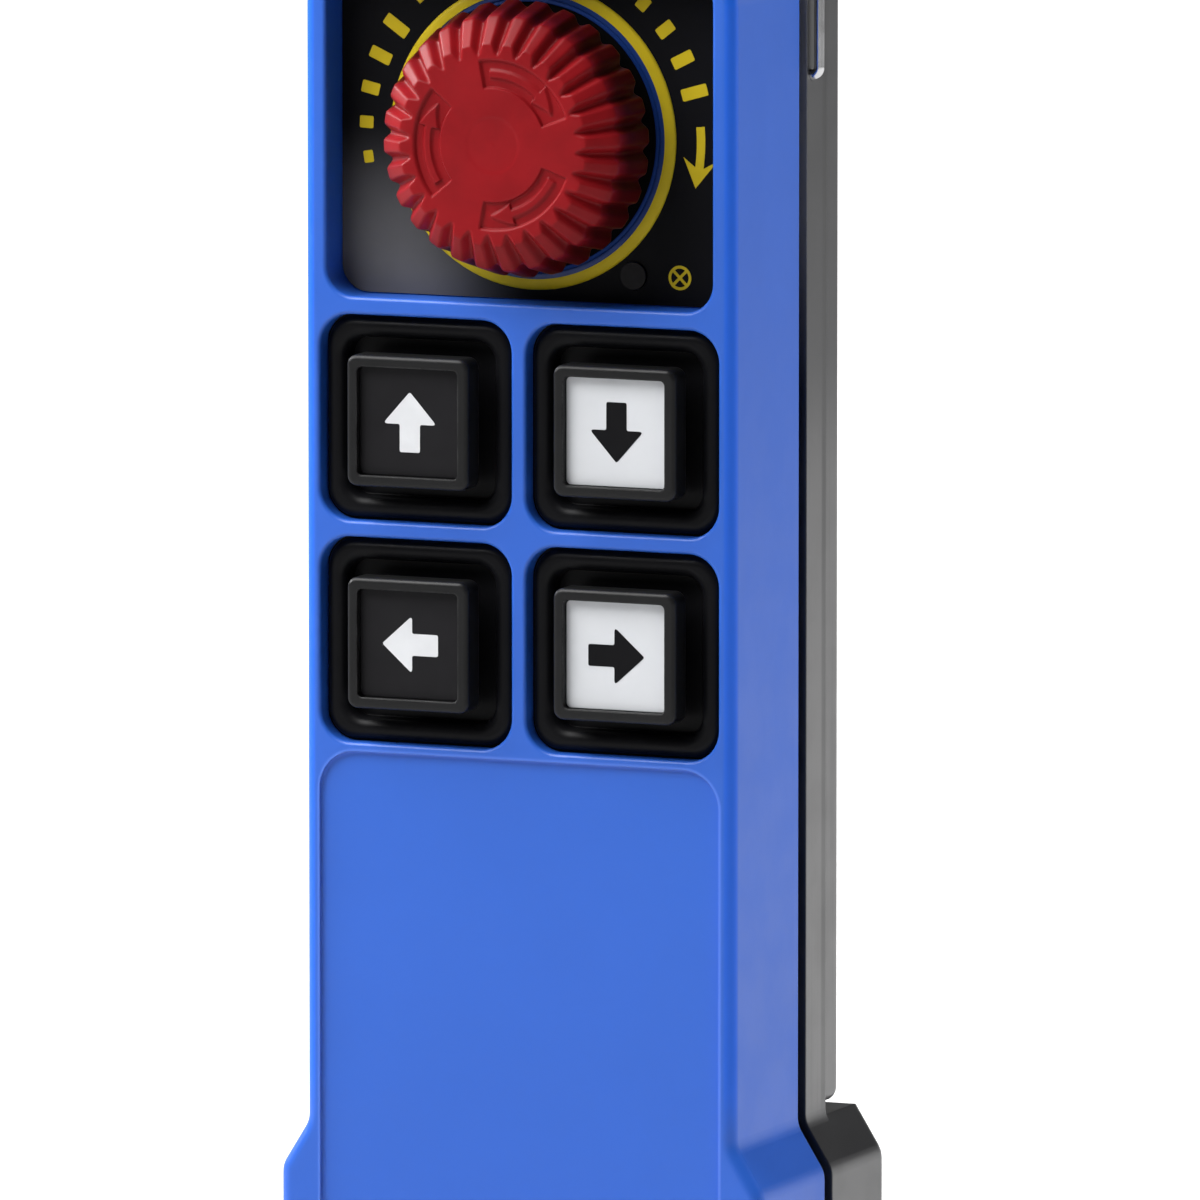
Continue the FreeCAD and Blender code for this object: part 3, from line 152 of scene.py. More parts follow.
class Tree:
    """Short ways to add nodes to a node tree and to link them."""

    def __init__(self, tree):
        self.tree = tree

    def add(self, kind, *values, **settings):
        """A new shader node, with values or links for its first sockets."""
        node = self.tree.nodes.new("ShaderNode" + kind)
        for key, value in settings.items():
            setattr(node, key, value)
        for socket, value in zip(node.inputs, values):
            self.feed(socket, value)
        return node

    def feed(self, socket, value):
        if isinstance(value, bpy.types.NodeSocket):
            self.tree.links.new(value, socket)
        elif socket.type == "RGBA":
            socket.default_value = (*value, 1.0)
        else:
            socket.default_value = value

    def sum(self, operation, first, second=0.0, third=0.0):
        return self.add("Math", first, second, third, operation=operation).outputs[0]

    def apart(self, first, second):
        return self.sum("ABSOLUTE", self.sum("SUBTRACT", first, second))

    def hypot(self, first, second):
        square = self.sum("MULTIPLY_ADD", first, first, self.sum("MULTIPLY", second, second))
        return self.sum("SQRT", square)

    def spread(self, value, low, high, to_low=0.0, to_high=1.0):
        ends = (value, low, high, to_low, to_high)
        return self.add("MapRange", *ends, interpolation_type="SMOOTHSTEP").outputs[0]

    def blend(self, share_of_second, first, second):
        node = self.add("Mix", share_of_second, data_type="RGBA")
        self.feed(node.inputs[6], first)
        self.feed(node.inputs[7], second)
        return node.outputs[2]

    def place(self):
        return self.add("TexCoord").outputs["Object"]

    def along(self, axis, where=None):
        """The place on one axis of the frame."""
        return self.add("SeparateXYZ", where or self.place()).outputs[axis]

    def away(self, point):
        """The distance from a point of the frame."""
        return self.add("VectorMath", self.place(), point, operation="DISTANCE").outputs["Value"]

    def noise(self, size, detail=2.0, where=None):
        node = self.add("TexNoise", where or self.place())
        self.feed(node.inputs["Scale"], self.sum("DIVIDE", 1.0, size))
        self.feed(node.inputs["Detail"], detail)
        return node.outputs["Fac"]

    def use(self, name, **values):
        node = self.add("Group", node_tree=bpy.data.node_groups[name])
        for key, value in values.items():
            self.feed(node.inputs[key.replace("_", " ").capitalize()], value)
        return node.outputs


def new_group(name, inputs, outputs):
    """An empty shader group with its named sockets, and its two ends."""
    group = bpy.data.node_groups.new(name, "ShaderNodeTree")
    for label, default in inputs.items():
        kind = COLOUR if isinstance(default, tuple) else FLOAT
        socket = group.interface.new_socket(name=label, in_out="INPUT", socket_type=kind)
        socket.default_value = default
    for label, kind in outputs.items():
        group.interface.new_socket(name=label, in_out="OUTPUT", socket_type=kind)
    given = group.nodes.new("NodeGroupInput").outputs
    return Tree(group), given, group.nodes.new("NodeGroupOutput").inputs


def make_grain_group():
    """Fine moulding grain, and broad patches where the mould was smoother."""
    tree, given, out = new_group(
        "moulding_grain", {"Grain": 0.3 * MM, "Patch": 20 * MM}, {"Height": FLOAT, "Patches": FLOAT}
    )
    tree.feed(out["Height"], tree.noise(given["Grain"], detail=3.0))
    tree.feed(out["Patches"], tree.spread(tree.noise(given["Patch"], detail=4.0), *PATCH_RANGE))


def make_edge_group():
    """Edges softened by handling: where they are rubbed, and the rounded normal there."""
    tree, given, out = new_group(
        "handled_edges", {"Reach": 0.4 * MM, "Breakup": 4 * MM}, {"Rub": FLOAT, "Normal": VECTOR}
    )
    rounded_normal = tree.add("Bevel", given["Reach"], samples=4).outputs[0]
    plain_normal = tree.add("NewGeometry").outputs["Normal"]
    facing = tree.add("VectorMath", rounded_normal, plain_normal, operation="DOT_PRODUCT")
    turned = tree.spread(facing.outputs["Value"], *RUB_RANGE)
    broken = tree.spread(tree.noise(given["Breakup"], detail=5.0), *MARK_RANGE)
    tree.feed(out["Rub"], tree.sum("MULTIPLY", turned, broken))
    tree.feed(out["Normal"], rounded_normal)


def make_patch_group():
    """A colour that drifts over the part, and goes to a rubbed colour at its edges."""
    tree, given, out = new_group(
        "drifting_colour",
        {
            "Colour": (0.5, 0.5, 0.5, 1),
            "Rubbed colour": (0.7, 0.7, 0.7, 1),
            "Drift": 0.1,
            "Rubbing": 0.3,
            "Patches": 0.5,
            "Rub": 0.0,
        },
        {"Colour": COLOUR},
    )
    gain = tree.sum("MULTIPLY_ADD", tree.sum("SUBTRACT", given["Patches"], 0.5), given["Drift"], 1.0)
    scaled = tree.add("VectorMath", given["Colour"], operation="SCALE")
    tree.feed(scaled.inputs["Scale"], gain)
    rubbed = tree.sum("MULTIPLY", given["Rub"], given["Rubbing"])
    tree.feed(out["Colour"], tree.blend(rubbed, scaled.outputs[0], given["Rubbed colour"]))


def make_smudge_group():
    """Roughness that varies with finger marks and fine rubbing."""
    tree, given, out = new_group(
        "finger_smudges", {"Roughness": 0.4, "Spread": 0.1, "Smudge": 9 * MM}, {"Roughness": FLOAT}
    )
    mark = tree.spread(tree.noise(given["Smudge"], detail=6.0), *MARK_RANGE, -1.0, 1.0)
    tree.feed(out["Roughness"], tree.sum("MULTIPLY_ADD", mark, given["Spread"], given["Roughness"]))


# Finishes, with the sizes of their marks in millimetres


class Finish(Tree):
    """A material with one Principled shader."""

    def __init__(self, name, shine=0.5, **sockets):
        self.material = bpy.data.materials.new(name)
        self.material.use_nodes = True
        super().__init__(self.material.node_tree)
        self.tree.nodes.clear()
        self.shader = self.add("BsdfPrincipled")
        self.add("OutputMaterial", self.shader.outputs[0])
        self.set("Specular IOR Level", shine)
        for key, value in sockets.items():
            self.set(key.replace("_", " ").title().replace("Ior", "IOR"), value)

    def set(self, socket, value):
        self.feed(self.shader.inputs[socket], value)

    def weather(self, colour, rough, spread, grain=0.3, patch=22.0, drift=0.08, depth=0.004, smudge=9.0,
                height=None, normal=None, **rubbing):
        """Drifting colour, finger smudges and a fine grain, or another height for the bump."""
        grains = self.use("moulding_grain", grain=grain * MM, patch=patch * MM)
        drifting = self.use(
            "drifting_colour", colour=colour, drift=drift, patches=grains["Patches"], **rubbing
        )
        smudges = self.use("finger_smudges", roughness=rough, spread=spread, smudge=smudge * MM)
        self.set("Base Color", drifting["Colour"])
        self.set("Roughness", smudges["Roughness"])
        bump = self.add("Bump")
        self.feed(bump.inputs["Height"], height or grains["Height"])
        self.feed(bump.inputs["Distance"], depth * MM)
        if normal:
            self.feed(bump.inputs["Normal"], normal)
        self.set("Normal", bump.outputs[0])
        return self

    def paint(self, colour, *masks):
        """Another colour over the base colour, where all the masks are."""
        mask = masks[0]
        for other in masks[1:]:
            mask = self.sum("MULTIPLY", mask, other)
        under = self.shader.inputs["Base Color"].links[0].from_socket
        self.set("Base Color", self.blend(mask, under, colour))


def lighter(colour, gain, lift=0.0):
    return [min(1.0, part * gain + lift) for part in colour]


def moulded(name, colour, rough, shine=0.5, ior=1.5, reach=0.35, rubbing=0.25, rubbed=None, **marks):
    """A moulded plastic or rubber: grain, drifting colour, smudges and rubbed edges."""
    finish = Finish(name, shine, ior=ior)
    edges = finish.use("handled_edges", reach=reach * MM)
    marks |= {"normal": edges["Normal"], "rub": edges["Rub"], "rubbing": rubbing}
    rubbed = rubbed or lighter(colour, gain=1.5, lift=0.03)
    return finish.weather(colour, rough, spread=rough * 0.09, rubbed_colour=rubbed, **marks)


def metal(name, colour, rough, line=0.12, depth=0.003):
    """A bright metal with fine marks and dull patches."""
    finish = Finish(name, metallic=1.0)
    lines = finish.noise(line * MM)
    return finish.weather(
        colour, rough, spread=rough * 0.3, grain=1.2, patch=6, drift=0.25, depth=depth, smudge=5, height=lines
    )


def ink(name, colour, shine=0.5):
    """Printed ink: thin and slightly uneven."""
    marks = {"grain": 0.12, "patch": 5, "drift": 0.07, "depth": 0.002, "smudge": 3}
    return Finish(name, shine).weather(colour, rough=0.45, spread=0.08, **marks)


def dress(finish, *nodes):
    """Give CAD nodes a finish."""
    for node in nodes:
        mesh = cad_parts[node].data
        mesh.materials.clear()
        mesh.materials.append(finish.material)


# Mesh pieces


def mix(start, end, part):
    return start + (end - start) * part


def ease(value):
    value = min(1.0, max(0.0, value))
    return value * value * (3 - 2 * value)


def middle_of(low, high):
    """The middle of a box seen from the front, in X and Z."""
    return Vector(((low.x + high.x) / 2, (low.z + high.z) / 2))


def back_of(low, high):
    """The middle of the back of a box."""
    return Vector(((low.x + high.x) / 2, high.y, (low.z + high.z) / 2))


def toward(way):
    return Vector((math.cos(way), math.sin(way)))


def new_object(solid, name, finish):
    mesh = bpy.data.meshes.new(name)
    solid.to_mesh(mesh)
    solid.free()
    mesh.materials.append(finish.material)
    made = bpy.data.objects.new(name, mesh)
    bpy.context.scene.collection.objects.link(made)
    return made


def settle(solid, name, finish, body, crease=35):
    """Close a mesh as a piece that rides on a CAD body."""
    bmesh.ops.recalc_face_normals(solid, faces=solid.faces)
    for edge in solid.edges:
        edge.smooth = not edge.is_manifold or edge.calc_face_angle() <= math.radians(crease)
    for face in solid.faces:
        face.smooth = True
    piece = new_object(solid, name, finish)
    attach(piece, body)
    return piece


def round_off(before, corner, after, radius, steps):
    """Points of a curve that rounds one corner, within the lines beside it."""
    corner = Vector(corner)
    come = Vector(before) - corner
    leave = Vector(after) - corner
    longest = CORNER_SHARE * min(come.length, leave.length)
    reach = min(radius / math.tan(come.angle(leave) / 2), longest)
    start = corner + come.normalized() * reach
    end = corner + leave.normalized() * reach
    parts = [step / steps for step in range(steps + 1)]
    return [mix(mix(start, corner, part), mix(corner, end, part), part) for part in parts]


def rounded(corners, radius):
    """An outline with each corner rounded."""
    outline = []
    for k, corner in enumerate(corners):
        after = corners[(k + 1) % len(corners)]
        outline += round_off(corners[k - 1], corner, after, radius, steps=5)
    return outline


def bend(corners, radii, step):
    """Points along an open line with rounded corners, no further apart than a step."""
    line = []
    for k, corner in enumerate(corners):
        if radii[k]:
            line += round_off(corners[k - 1], corner, corners[k + 1], radii[k], steps=4)
        else:
            line.append(Vector(corner))
    fine = [line[0]]
    for point in line[1:]:
        last = fine[-1]
        count = math.ceil((point - last).length / step)
        fine += [mix(last, point, k / count) for k in range(1, count + 1)]
    return fine


def join_rings(solid, first, second):
    """Faces between two rings of points, one of which may be a single point."""
    steps = max(len(first), len(second))
    for step in range(steps):
        after = (step + 1) % steps
        corners = [first[step % len(first)], first[after % len(first)]]
        corners += [second[after % len(second)], second[step % len(second)]]
        corners = list(dict.fromkeys(corners))
        if len(corners) > 2:
            solid.faces.new(corners)


def add_sign(solid, outline, back, front):
    """A thin solid sign with a flat outline, in X and Z, between two depths in Y."""
    low = [solid.verts.new((point.x, back, point.y)) for point in outline]
    high = [solid.verts.new((point.x, front, point.y)) for point in outline]
    solid.faces.new(low)
    solid.faces.new(list(reversed(high)))
    join_rings(solid, low, high)


def wedge(inner, outer, back, front, rise=0.0):
    """A section of radius and depth, whose front rises to the inside."""
    return [(inner, back), (outer, back), (outer, front), (inner, front - rise)]


def add_band(solid, centre, section, steps):
    """A solid ring that takes a section of radius and depth round a centre."""
    rows = []
    for step in range(steps):
        across = toward(TURN * step / steps)
        row = []
        for radius, depth in section:
            point = centre + across * radius
            row.append(solid.verts.new((point.x, depth, point.y)))
        rows.append(row)
    for row, after in zip(rows, rows[1:] + rows[:1]):
        join_rings(solid, row, after)


def oblong(width, height):
    """Corners of an upright bar, round its middle."""
    x, z = width / 2, height / 2
    return [(-x, -z), (x, -z), (x, z), (-x, z)]


def turn_points(points, way, centre):
    """Turn an outline that points up, and move it to a place."""
    turn = Matrix.Rotation(way, 2)
    return [centre + turn @ Vector(point) for point in points]


def arrow_outline(span, width, stem, head):
    """A block arrow that points up, round its middle."""
    top = span / 2
    neck = top - head
    left = [(-width / 2, neck), (-stem / 2, neck), (-stem / 2, -top)]
    return [(0, top), *left, *((-x, z) for x, z in reversed(left))]


def islands(node):
    """The boxes of the separate solids in one CAD node."""
    solid = bmesh.new()
    solid.from_mesh(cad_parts[node].data)
    bmesh.ops.remove_doubles(solid, verts=solid.verts, dist=TOUCH)
    boxes = []
    left = set(solid.verts)
    while left:
        reached = [left.pop()]
        for vert in reached:
            beside = left.intersection(edge.other_vert(vert) for edge in vert.link_edges)
            left -= beside
            reached += beside
        points = [vert.co for vert in reached]
        boxes.append((Vector(map(min, *points)), Vector(map(max, *points))))
    solid.free()
    return sorted(boxes, key=lambda box: tuple(round(part, 5) for part in box[0]))


def add_turned(solid, profile, centre, steps, shape):
    """Turn a profile round an axis to the front; a shape says where its points off the axis go."""
    rings = []
    for index, (radius, ahead) in enumerate(profile):
        ring = []
        if radius < TOUCH:
            ring.append(solid.verts.new((centre.x, centre.y - ahead, centre.z)))
        else:
            for step in range(steps):
                way = TURN * step / steps
                reach, depth = shape(index, way)
                across = math.cos(way) * reach
                up = math.sin(way) * reach
                ring.append(solid.verts.new((centre.x + across, centre.y - depth, centre.z + up)))
        rings.append(ring)
    for first, second in zip(rings, rings[1:]):
        join_rings(solid, first, second)


# Operators


class REMOTE_OT_casings(Operator):
    """Finish the blue front casing, the grey rear casing and the rubber parts"""

    bl_idname = "remote.finish_casings"
    bl_label = "Finish casings"

    rubber_black = (0.003, 0.003, 0.0035)
    grip_half = 36.0 * MM
    edge_round = 1.95 * MM
    edge_fade = 0.6 * MM
    edge_foot = (36 * MM, 46 * MM)
    edge_light_blue = (0.006, 0.122, 0.74)
    head_shadow_fade = (23.0 * MM, 23.1 * MM)
    panel_half = 33.5 * MM
    panel_corner = 6.0 * MM
    panel_drop = 17.4 * MM
    panel_foot = 9.0 * MM
    panel_depth = (0.5 * MM, 1.0 * MM)
    panel_highlight_fade = (0.168 * MM, 0.588 * MM)
    panel_highlight_share = 0.85
    panel_highlight_blue = (0.075, 0.19, 0.72)
    side_fade = (34.5 * MM, 35.5 * MM)
    sheen_fade = (158 * MM, 134 * MM)
    sheen_grey = (0.085, 0.083, 0.084)
    streak_size = 0.9 * MM
    streak_scale = (1, 1, 0.012)
    streak_range = (0.5, 0.75)
    streak_share = 0.45
    groove_back = 14.3 * MM
    groove_shade_fade = (0.4 * MM, 1.3 * MM)
    groove_shade_share = 0.9
    foot_fade = (40 * MM, 36 * MM)
    foot_grey = (0.018, 0.018, 0.02)
    rim_depth = (0.02 * MM, 0.06 * MM)
    rim_light_fade = (150 * MM, 186 * MM)
    rim_painted_light = (0.15, 0.15, 0.16)

    def execute(self, context):
        looks = context.scene.remote_shell
        grain = looks.grain / MM
        depth = looks.grain_depth / MM
        blue = moulded(
            "blue_shell", looks.blue, rough=looks.gloss, grain=grain, depth=depth, drift=0.04, patch=34,
            reach=0.3, rubbed=lighter(looks.blue, gain=1.2, lift=0.03),
        )
        grey = moulded(
            "grey_shell", looks.grey, rough=looks.gloss, grain=grain, depth=depth * 1.6, rubbing=0.3,
            patch=26, reach=0.3, shine=1.0, ior=1.75,
        )
        rubber = moulded(
            "black_rubber", self.rubber_black, rough=0.6, grain=0.2, depth=0.006, drift=0.2, rubbing=0.1,
            patch=9, reach=0.15, shine=0.02,
        )
        self.paint_blue_light_and_shade(blue)
        self.paint_grey_sheen_and_shade(grey)
        self.blacken_rim(grey)
        dress(blue, "front_casing")
        dress(grey, "rear_casing", "battery_door")
        dress(rubber, "casing_gasket", "door_seal", "stop_seal", "antenna")
        return {"FINISHED"}

    def paint_blue_light_and_shade(self, blue):
        """Painted light and shade on the blue: a brighter, deeper blue on the rounded front edges as painted
        light, a painted shadow round the stop head, and a painted highlight line round the lower panel.
        """
        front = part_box("front_casing")[0].y
        across = blue.sum("ABSOLUTE", blue.along("X"))
        up = blue.along("Z")
        flat = self.grip_half - front - self.edge_round
        outward = blue.sum("SUBTRACT", across, blue.along("Y"))
        # Painted light: the rounded front edges are painted a brighter, deeper blue for the light that falls
        # on them.
        lit_round_edge = blue.spread(outward, flat, flat + self.edge_fade)
        blue.paint(self.edge_light_blue, lit_round_edge, blue.spread(up, *self.edge_foot))

        # Painted shadow: the casing round the stop head is painted in the shaded blue, where the head's
        # shadow falls.
        rise = blue.sum("SUBTRACT", up, middle_of(*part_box("stop_head")).y)
        blue.paint(SHADED_BLUE, blue.spread(blue.hypot(across, rise), *self.head_shadow_fade, 1.0, 0.0))

        # Painted highlight: a pale line round the edge of the lower panel, where its edge catches the light.
        line = blue.spread(self.off_panel(blue, across, up), *self.panel_highlight_fade, self.panel_highlight_share, 0.0)
        ahead = blue.spread(blue.along("Y"), *(front + depth for depth in self.panel_depth), 1.0, 0.0)
        blue.paint(self.panel_highlight_blue, line, ahead)

    def off_panel(self, blue, across, up):
        """Distance from the outline of the lower panel, which has round corners."""
        top = middle_of(*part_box("key_tile_lower_left")).y - self.panel_drop
        middle = (top + self.panel_foot) / 2
        half_height = (top - self.panel_foot) / 2
        out_x = blue.sum("SUBTRACT", across, self.panel_half - self.panel_corner)
        out_z = blue.sum("SUBTRACT", blue.apart(up, middle), half_height - self.panel_corner)
        corner = blue.hypot(blue.sum("MAXIMUM", out_x, 0.0), blue.sum("MAXIMUM", out_z, 0.0))
        inside = blue.sum("MINIMUM", blue.sum("MAXIMUM", out_x, out_z), 0.0)
        return blue.apart(blue.sum("ADD", corner, inside), self.panel_corner)

    def paint_grey_sheen_and_shade(self, grey):
        """Sides painted paler from the middle down as a painted sheen, with drawn lines back to the foot
        grey, painted shade along a groove near the back, and the foot painted in the dark foot grey where the
        painted sheen stops.
        """
        up = grey.along("Z")
        sides = grey.spread(grey.sum("ABSOLUTE", grey.along("X")), *self.side_fade)
        # Painted sheen: the sides are painted paler from the middle down, as a painted reflection of the
        # bright floor.
        grey.paint(self.sheen_grey, grey.spread(up, *self.sheen_fade), sides)
        stretch = grey.add("Mapping", grey.place())
        grey.feed(stretch.inputs["Scale"], self.streak_scale)
        drawn = grey.noise(self.streak_size, 3.0, stretch.outputs[0])
        grey.paint(self.foot_grey, grey.spread(drawn, *self.streak_range, 0.0, self.streak_share), sides)
        # Painted shade: a black line along the groove near the back of the sides.
        off = grey.apart(grey.along("Y"), self.groove_back)
        grey.paint(self.rubber_black, grey.spread(off, *self.groove_shade_fade, self.groove_shade_share, 0.0), sides)
        grey.paint(self.foot_grey, grey.spread(up, *self.foot_fade))

    def blacken_rim(self, grey):
        """Painted black on the front rim of the rear casing, partly for the gasket's black rubber and partly
        as painted shade in the seam, and painted lighter towards the top as painted light where the seam
        closes.
        """
        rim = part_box("casing_gasket")[1].y
        ahead = grey.spread(grey.along("Y"), *(rim + depth for depth in self.rim_depth), 1.0, 0.0)
        # Painted black: partly the gasket's rubber, partly painted shade in the seam.
        grey.paint(self.rubber_black, ahead)
        # Painted light: the rim is painted a pale grey towards the top.
        grey.paint(self.rim_painted_light, ahead, grey.spread(grey.along("Z"), *self.rim_light_fade))


class REMOTE_OT_stop_legend(Operator):
    """Add the yellow ring and the blue bezel painted in shaded blue, and print the marks and the lamp sign on
    the plate
    """

    bl_idname = "remote.print_stop_legend"
    bl_label = "Print stop legend"

    film_black = (0.004, 0.004, 0.005)
    film_lit_grey = (0.092, 0.091, 0.098)
    lit_patch_place = (-28 * MM, -16 * MM, 164 * MM)
    lit_patch_reach = (7 * MM, 30 * MM)
    lens_black = (0.006, 0.005, 0.006)
    ink_rise = 0.04 * MM
    ring_rise = 0.62 * MM
    bezel_rise = 0.5 * MM
    ring_steps = 160
    lip_steps = 6
    bars = 5
    bar_step = math.radians(11)
    bar_starts = (math.radians(60), math.radians(189))
    bar_width = 1.9 * MM
    bar_short = 1.6 * MM
    bar_long = 4.4 * MM
    bar_round = 0.3 * MM
    arrow_span = 9.6 * MM
    arrow_width = 5.6 * MM
    arrow_stem = 1.4 * MM
    arrow_head = 4.2 * MM
    arrow_notch = 0.1
    arrow_barb = 0.04
    arrow_steps = 8
    sign_right = 7.65 * MM
    sign_radius = 1.9 * MM
    sign_line = 0.45 * MM
    sign_overlap = 0.01 * MM
    sign_steps = 48

    def execute(self, context):
        looks = context.scene.remote_stop
        yellow = ink("legend_yellow", looks.yellow, shine=0.12)
        # Painted shade: the bezel is given the shaded blue, for the stop head's shadow over it.
        blue = moulded("bezel_blue", SHADED_BLUE, rough=0.45, shine=0.08)
        dress(self.legend_film(), "stop_legend_plate")
        dress(self.smoked_lens(), "indicator_lens")
        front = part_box("stop_legend_plate")[0].y
        back = front + SIGN_SINK
        top = front - self.ink_rise
        middle = middle_of(*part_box("stop_head"))

        inner = looks.ring_inner
        ring = bmesh.new()
        lip = self.ring_section(inner, inner + looks.ring_width, front, back)
        add_band(ring, middle, lip, self.ring_steps)
        settle(ring, "stop_legend_ring", yellow, "casing", crease=60)
        bezel = bmesh.new()
        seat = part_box("stop_seal")[0].y
        cone = wedge(inner - looks.bezel_width, inner, seat, front, self.bezel_rise)
        add_band(bezel, middle, cone, self.ring_steps)
        settle(bezel, "stop_bezel", blue, "casing")

        marks = bmesh.new()
        for outline in self.mark_outlines(middle, looks.mark_radius):
            add_sign(marks, outline, back, top)
        settle(marks, "stop_turn_marks", yellow, "casing")

        lens = middle_of(*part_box("indicator_lens"))
        self.print_lamp_sign(lens + Vector((self.sign_right, 0)), yellow, back, top)
        return {"FINISHED"}

    def legend_film(self):
        """Black printed film, with a painted pool of light in grey at the lower left."""
        finish = Finish("legend_black", shine=0.06)
        # Painted light: a grey pool of light at the lower left of the film, fading out towards the stop head.
        rubbed = finish.spread(finish.away(self.lit_patch_place), *self.lit_patch_reach, 1.0, 0.0)
        film = finish.blend(rubbed, self.film_black, self.film_lit_grey)
        return finish.weather(film, rough=0.5, spread=0.05, grain=0.25, patch=14, drift=0.15, depth=0.006)

    def smoked_lens(self):
        """Dark glossy lens over the lamp."""
        finish = Finish("lens_dark", shine=0.12, coat_weight=0.05, coat_roughness=0.1)
        return finish.weather(self.lens_black, rough=0.2, spread=0.05, grain=0.5, patch=1.5, drift=0.5)

    def ring_section(self, inner, outer, front, back):
        """A lip that is highest at its inside and rounds down to the plate."""
        section = [(inner, back), (outer, back)]
        for k in range(self.lip_steps + 1):
            way = math.pi / 2 * k / self.lip_steps
            section.append((mix(inner, outer, math.cos(way)), front - self.ring_rise * math.sin(way)))
        return section

    def mark_outlines(self, middle, radius):
        """Bars that grow clockwise and end in an arrow bent to the circle, in two places."""
        turn = self.arrow_span / radius
        for start in self.bar_starts:
            for k in range(self.bars):
                way = start - k * self.bar_step
                tall = mix(self.bar_short, self.bar_long, k / (self.bars - 1))
                bar = rounded(oblong(self.bar_width, tall), self.bar_round)
                yield turn_points(bar, way - math.pi / 2, middle + toward(way) * radius)
            end = start - self.bars * self.bar_step
            arrow = self.arrow_points()
            yield [middle + toward(end - turn * along) * (radius + across) for across, along in arrow]

    def arrow_points(self):
        """Points of the bent arrow: distance outward, and share of its length."""
        neck = 1 - self.arrow_head / self.arrow_span
        stem = self.arrow_stem / 2
        barb = self.arrow_width / 2
        notch = neck + self.arrow_notch
        shares = [notch * k / self.arrow_steps for k in range(self.arrow_steps + 1)]
        back = neck - self.arrow_barb
        head = [(barb, back), (0, 1), (-barb, back)]
        inner = [(-stem, along) for along in reversed(shares)]
        return [(stem, along) for along in shares] + head + inner

    def print_lamp_sign(self, centre, finish, back, top):
        """A circle with a cross in it, one bar of the cross a little over the other."""
        sign = bmesh.new()
        inside = self.sign_radius - self.sign_line
        add_band(sign, centre, wedge(inside, self.sign_radius, back, top), self.sign_steps)
        bar = oblong(self.sign_line, 2 * inside)
        for way, front in ((math.pi / 4, top - self.sign_overlap), (-math.pi / 4, top)):
            add_sign(sign, turn_points(bar, way, centre), back, front)
        settle(sign, "lamp_sign", finish, "casing")


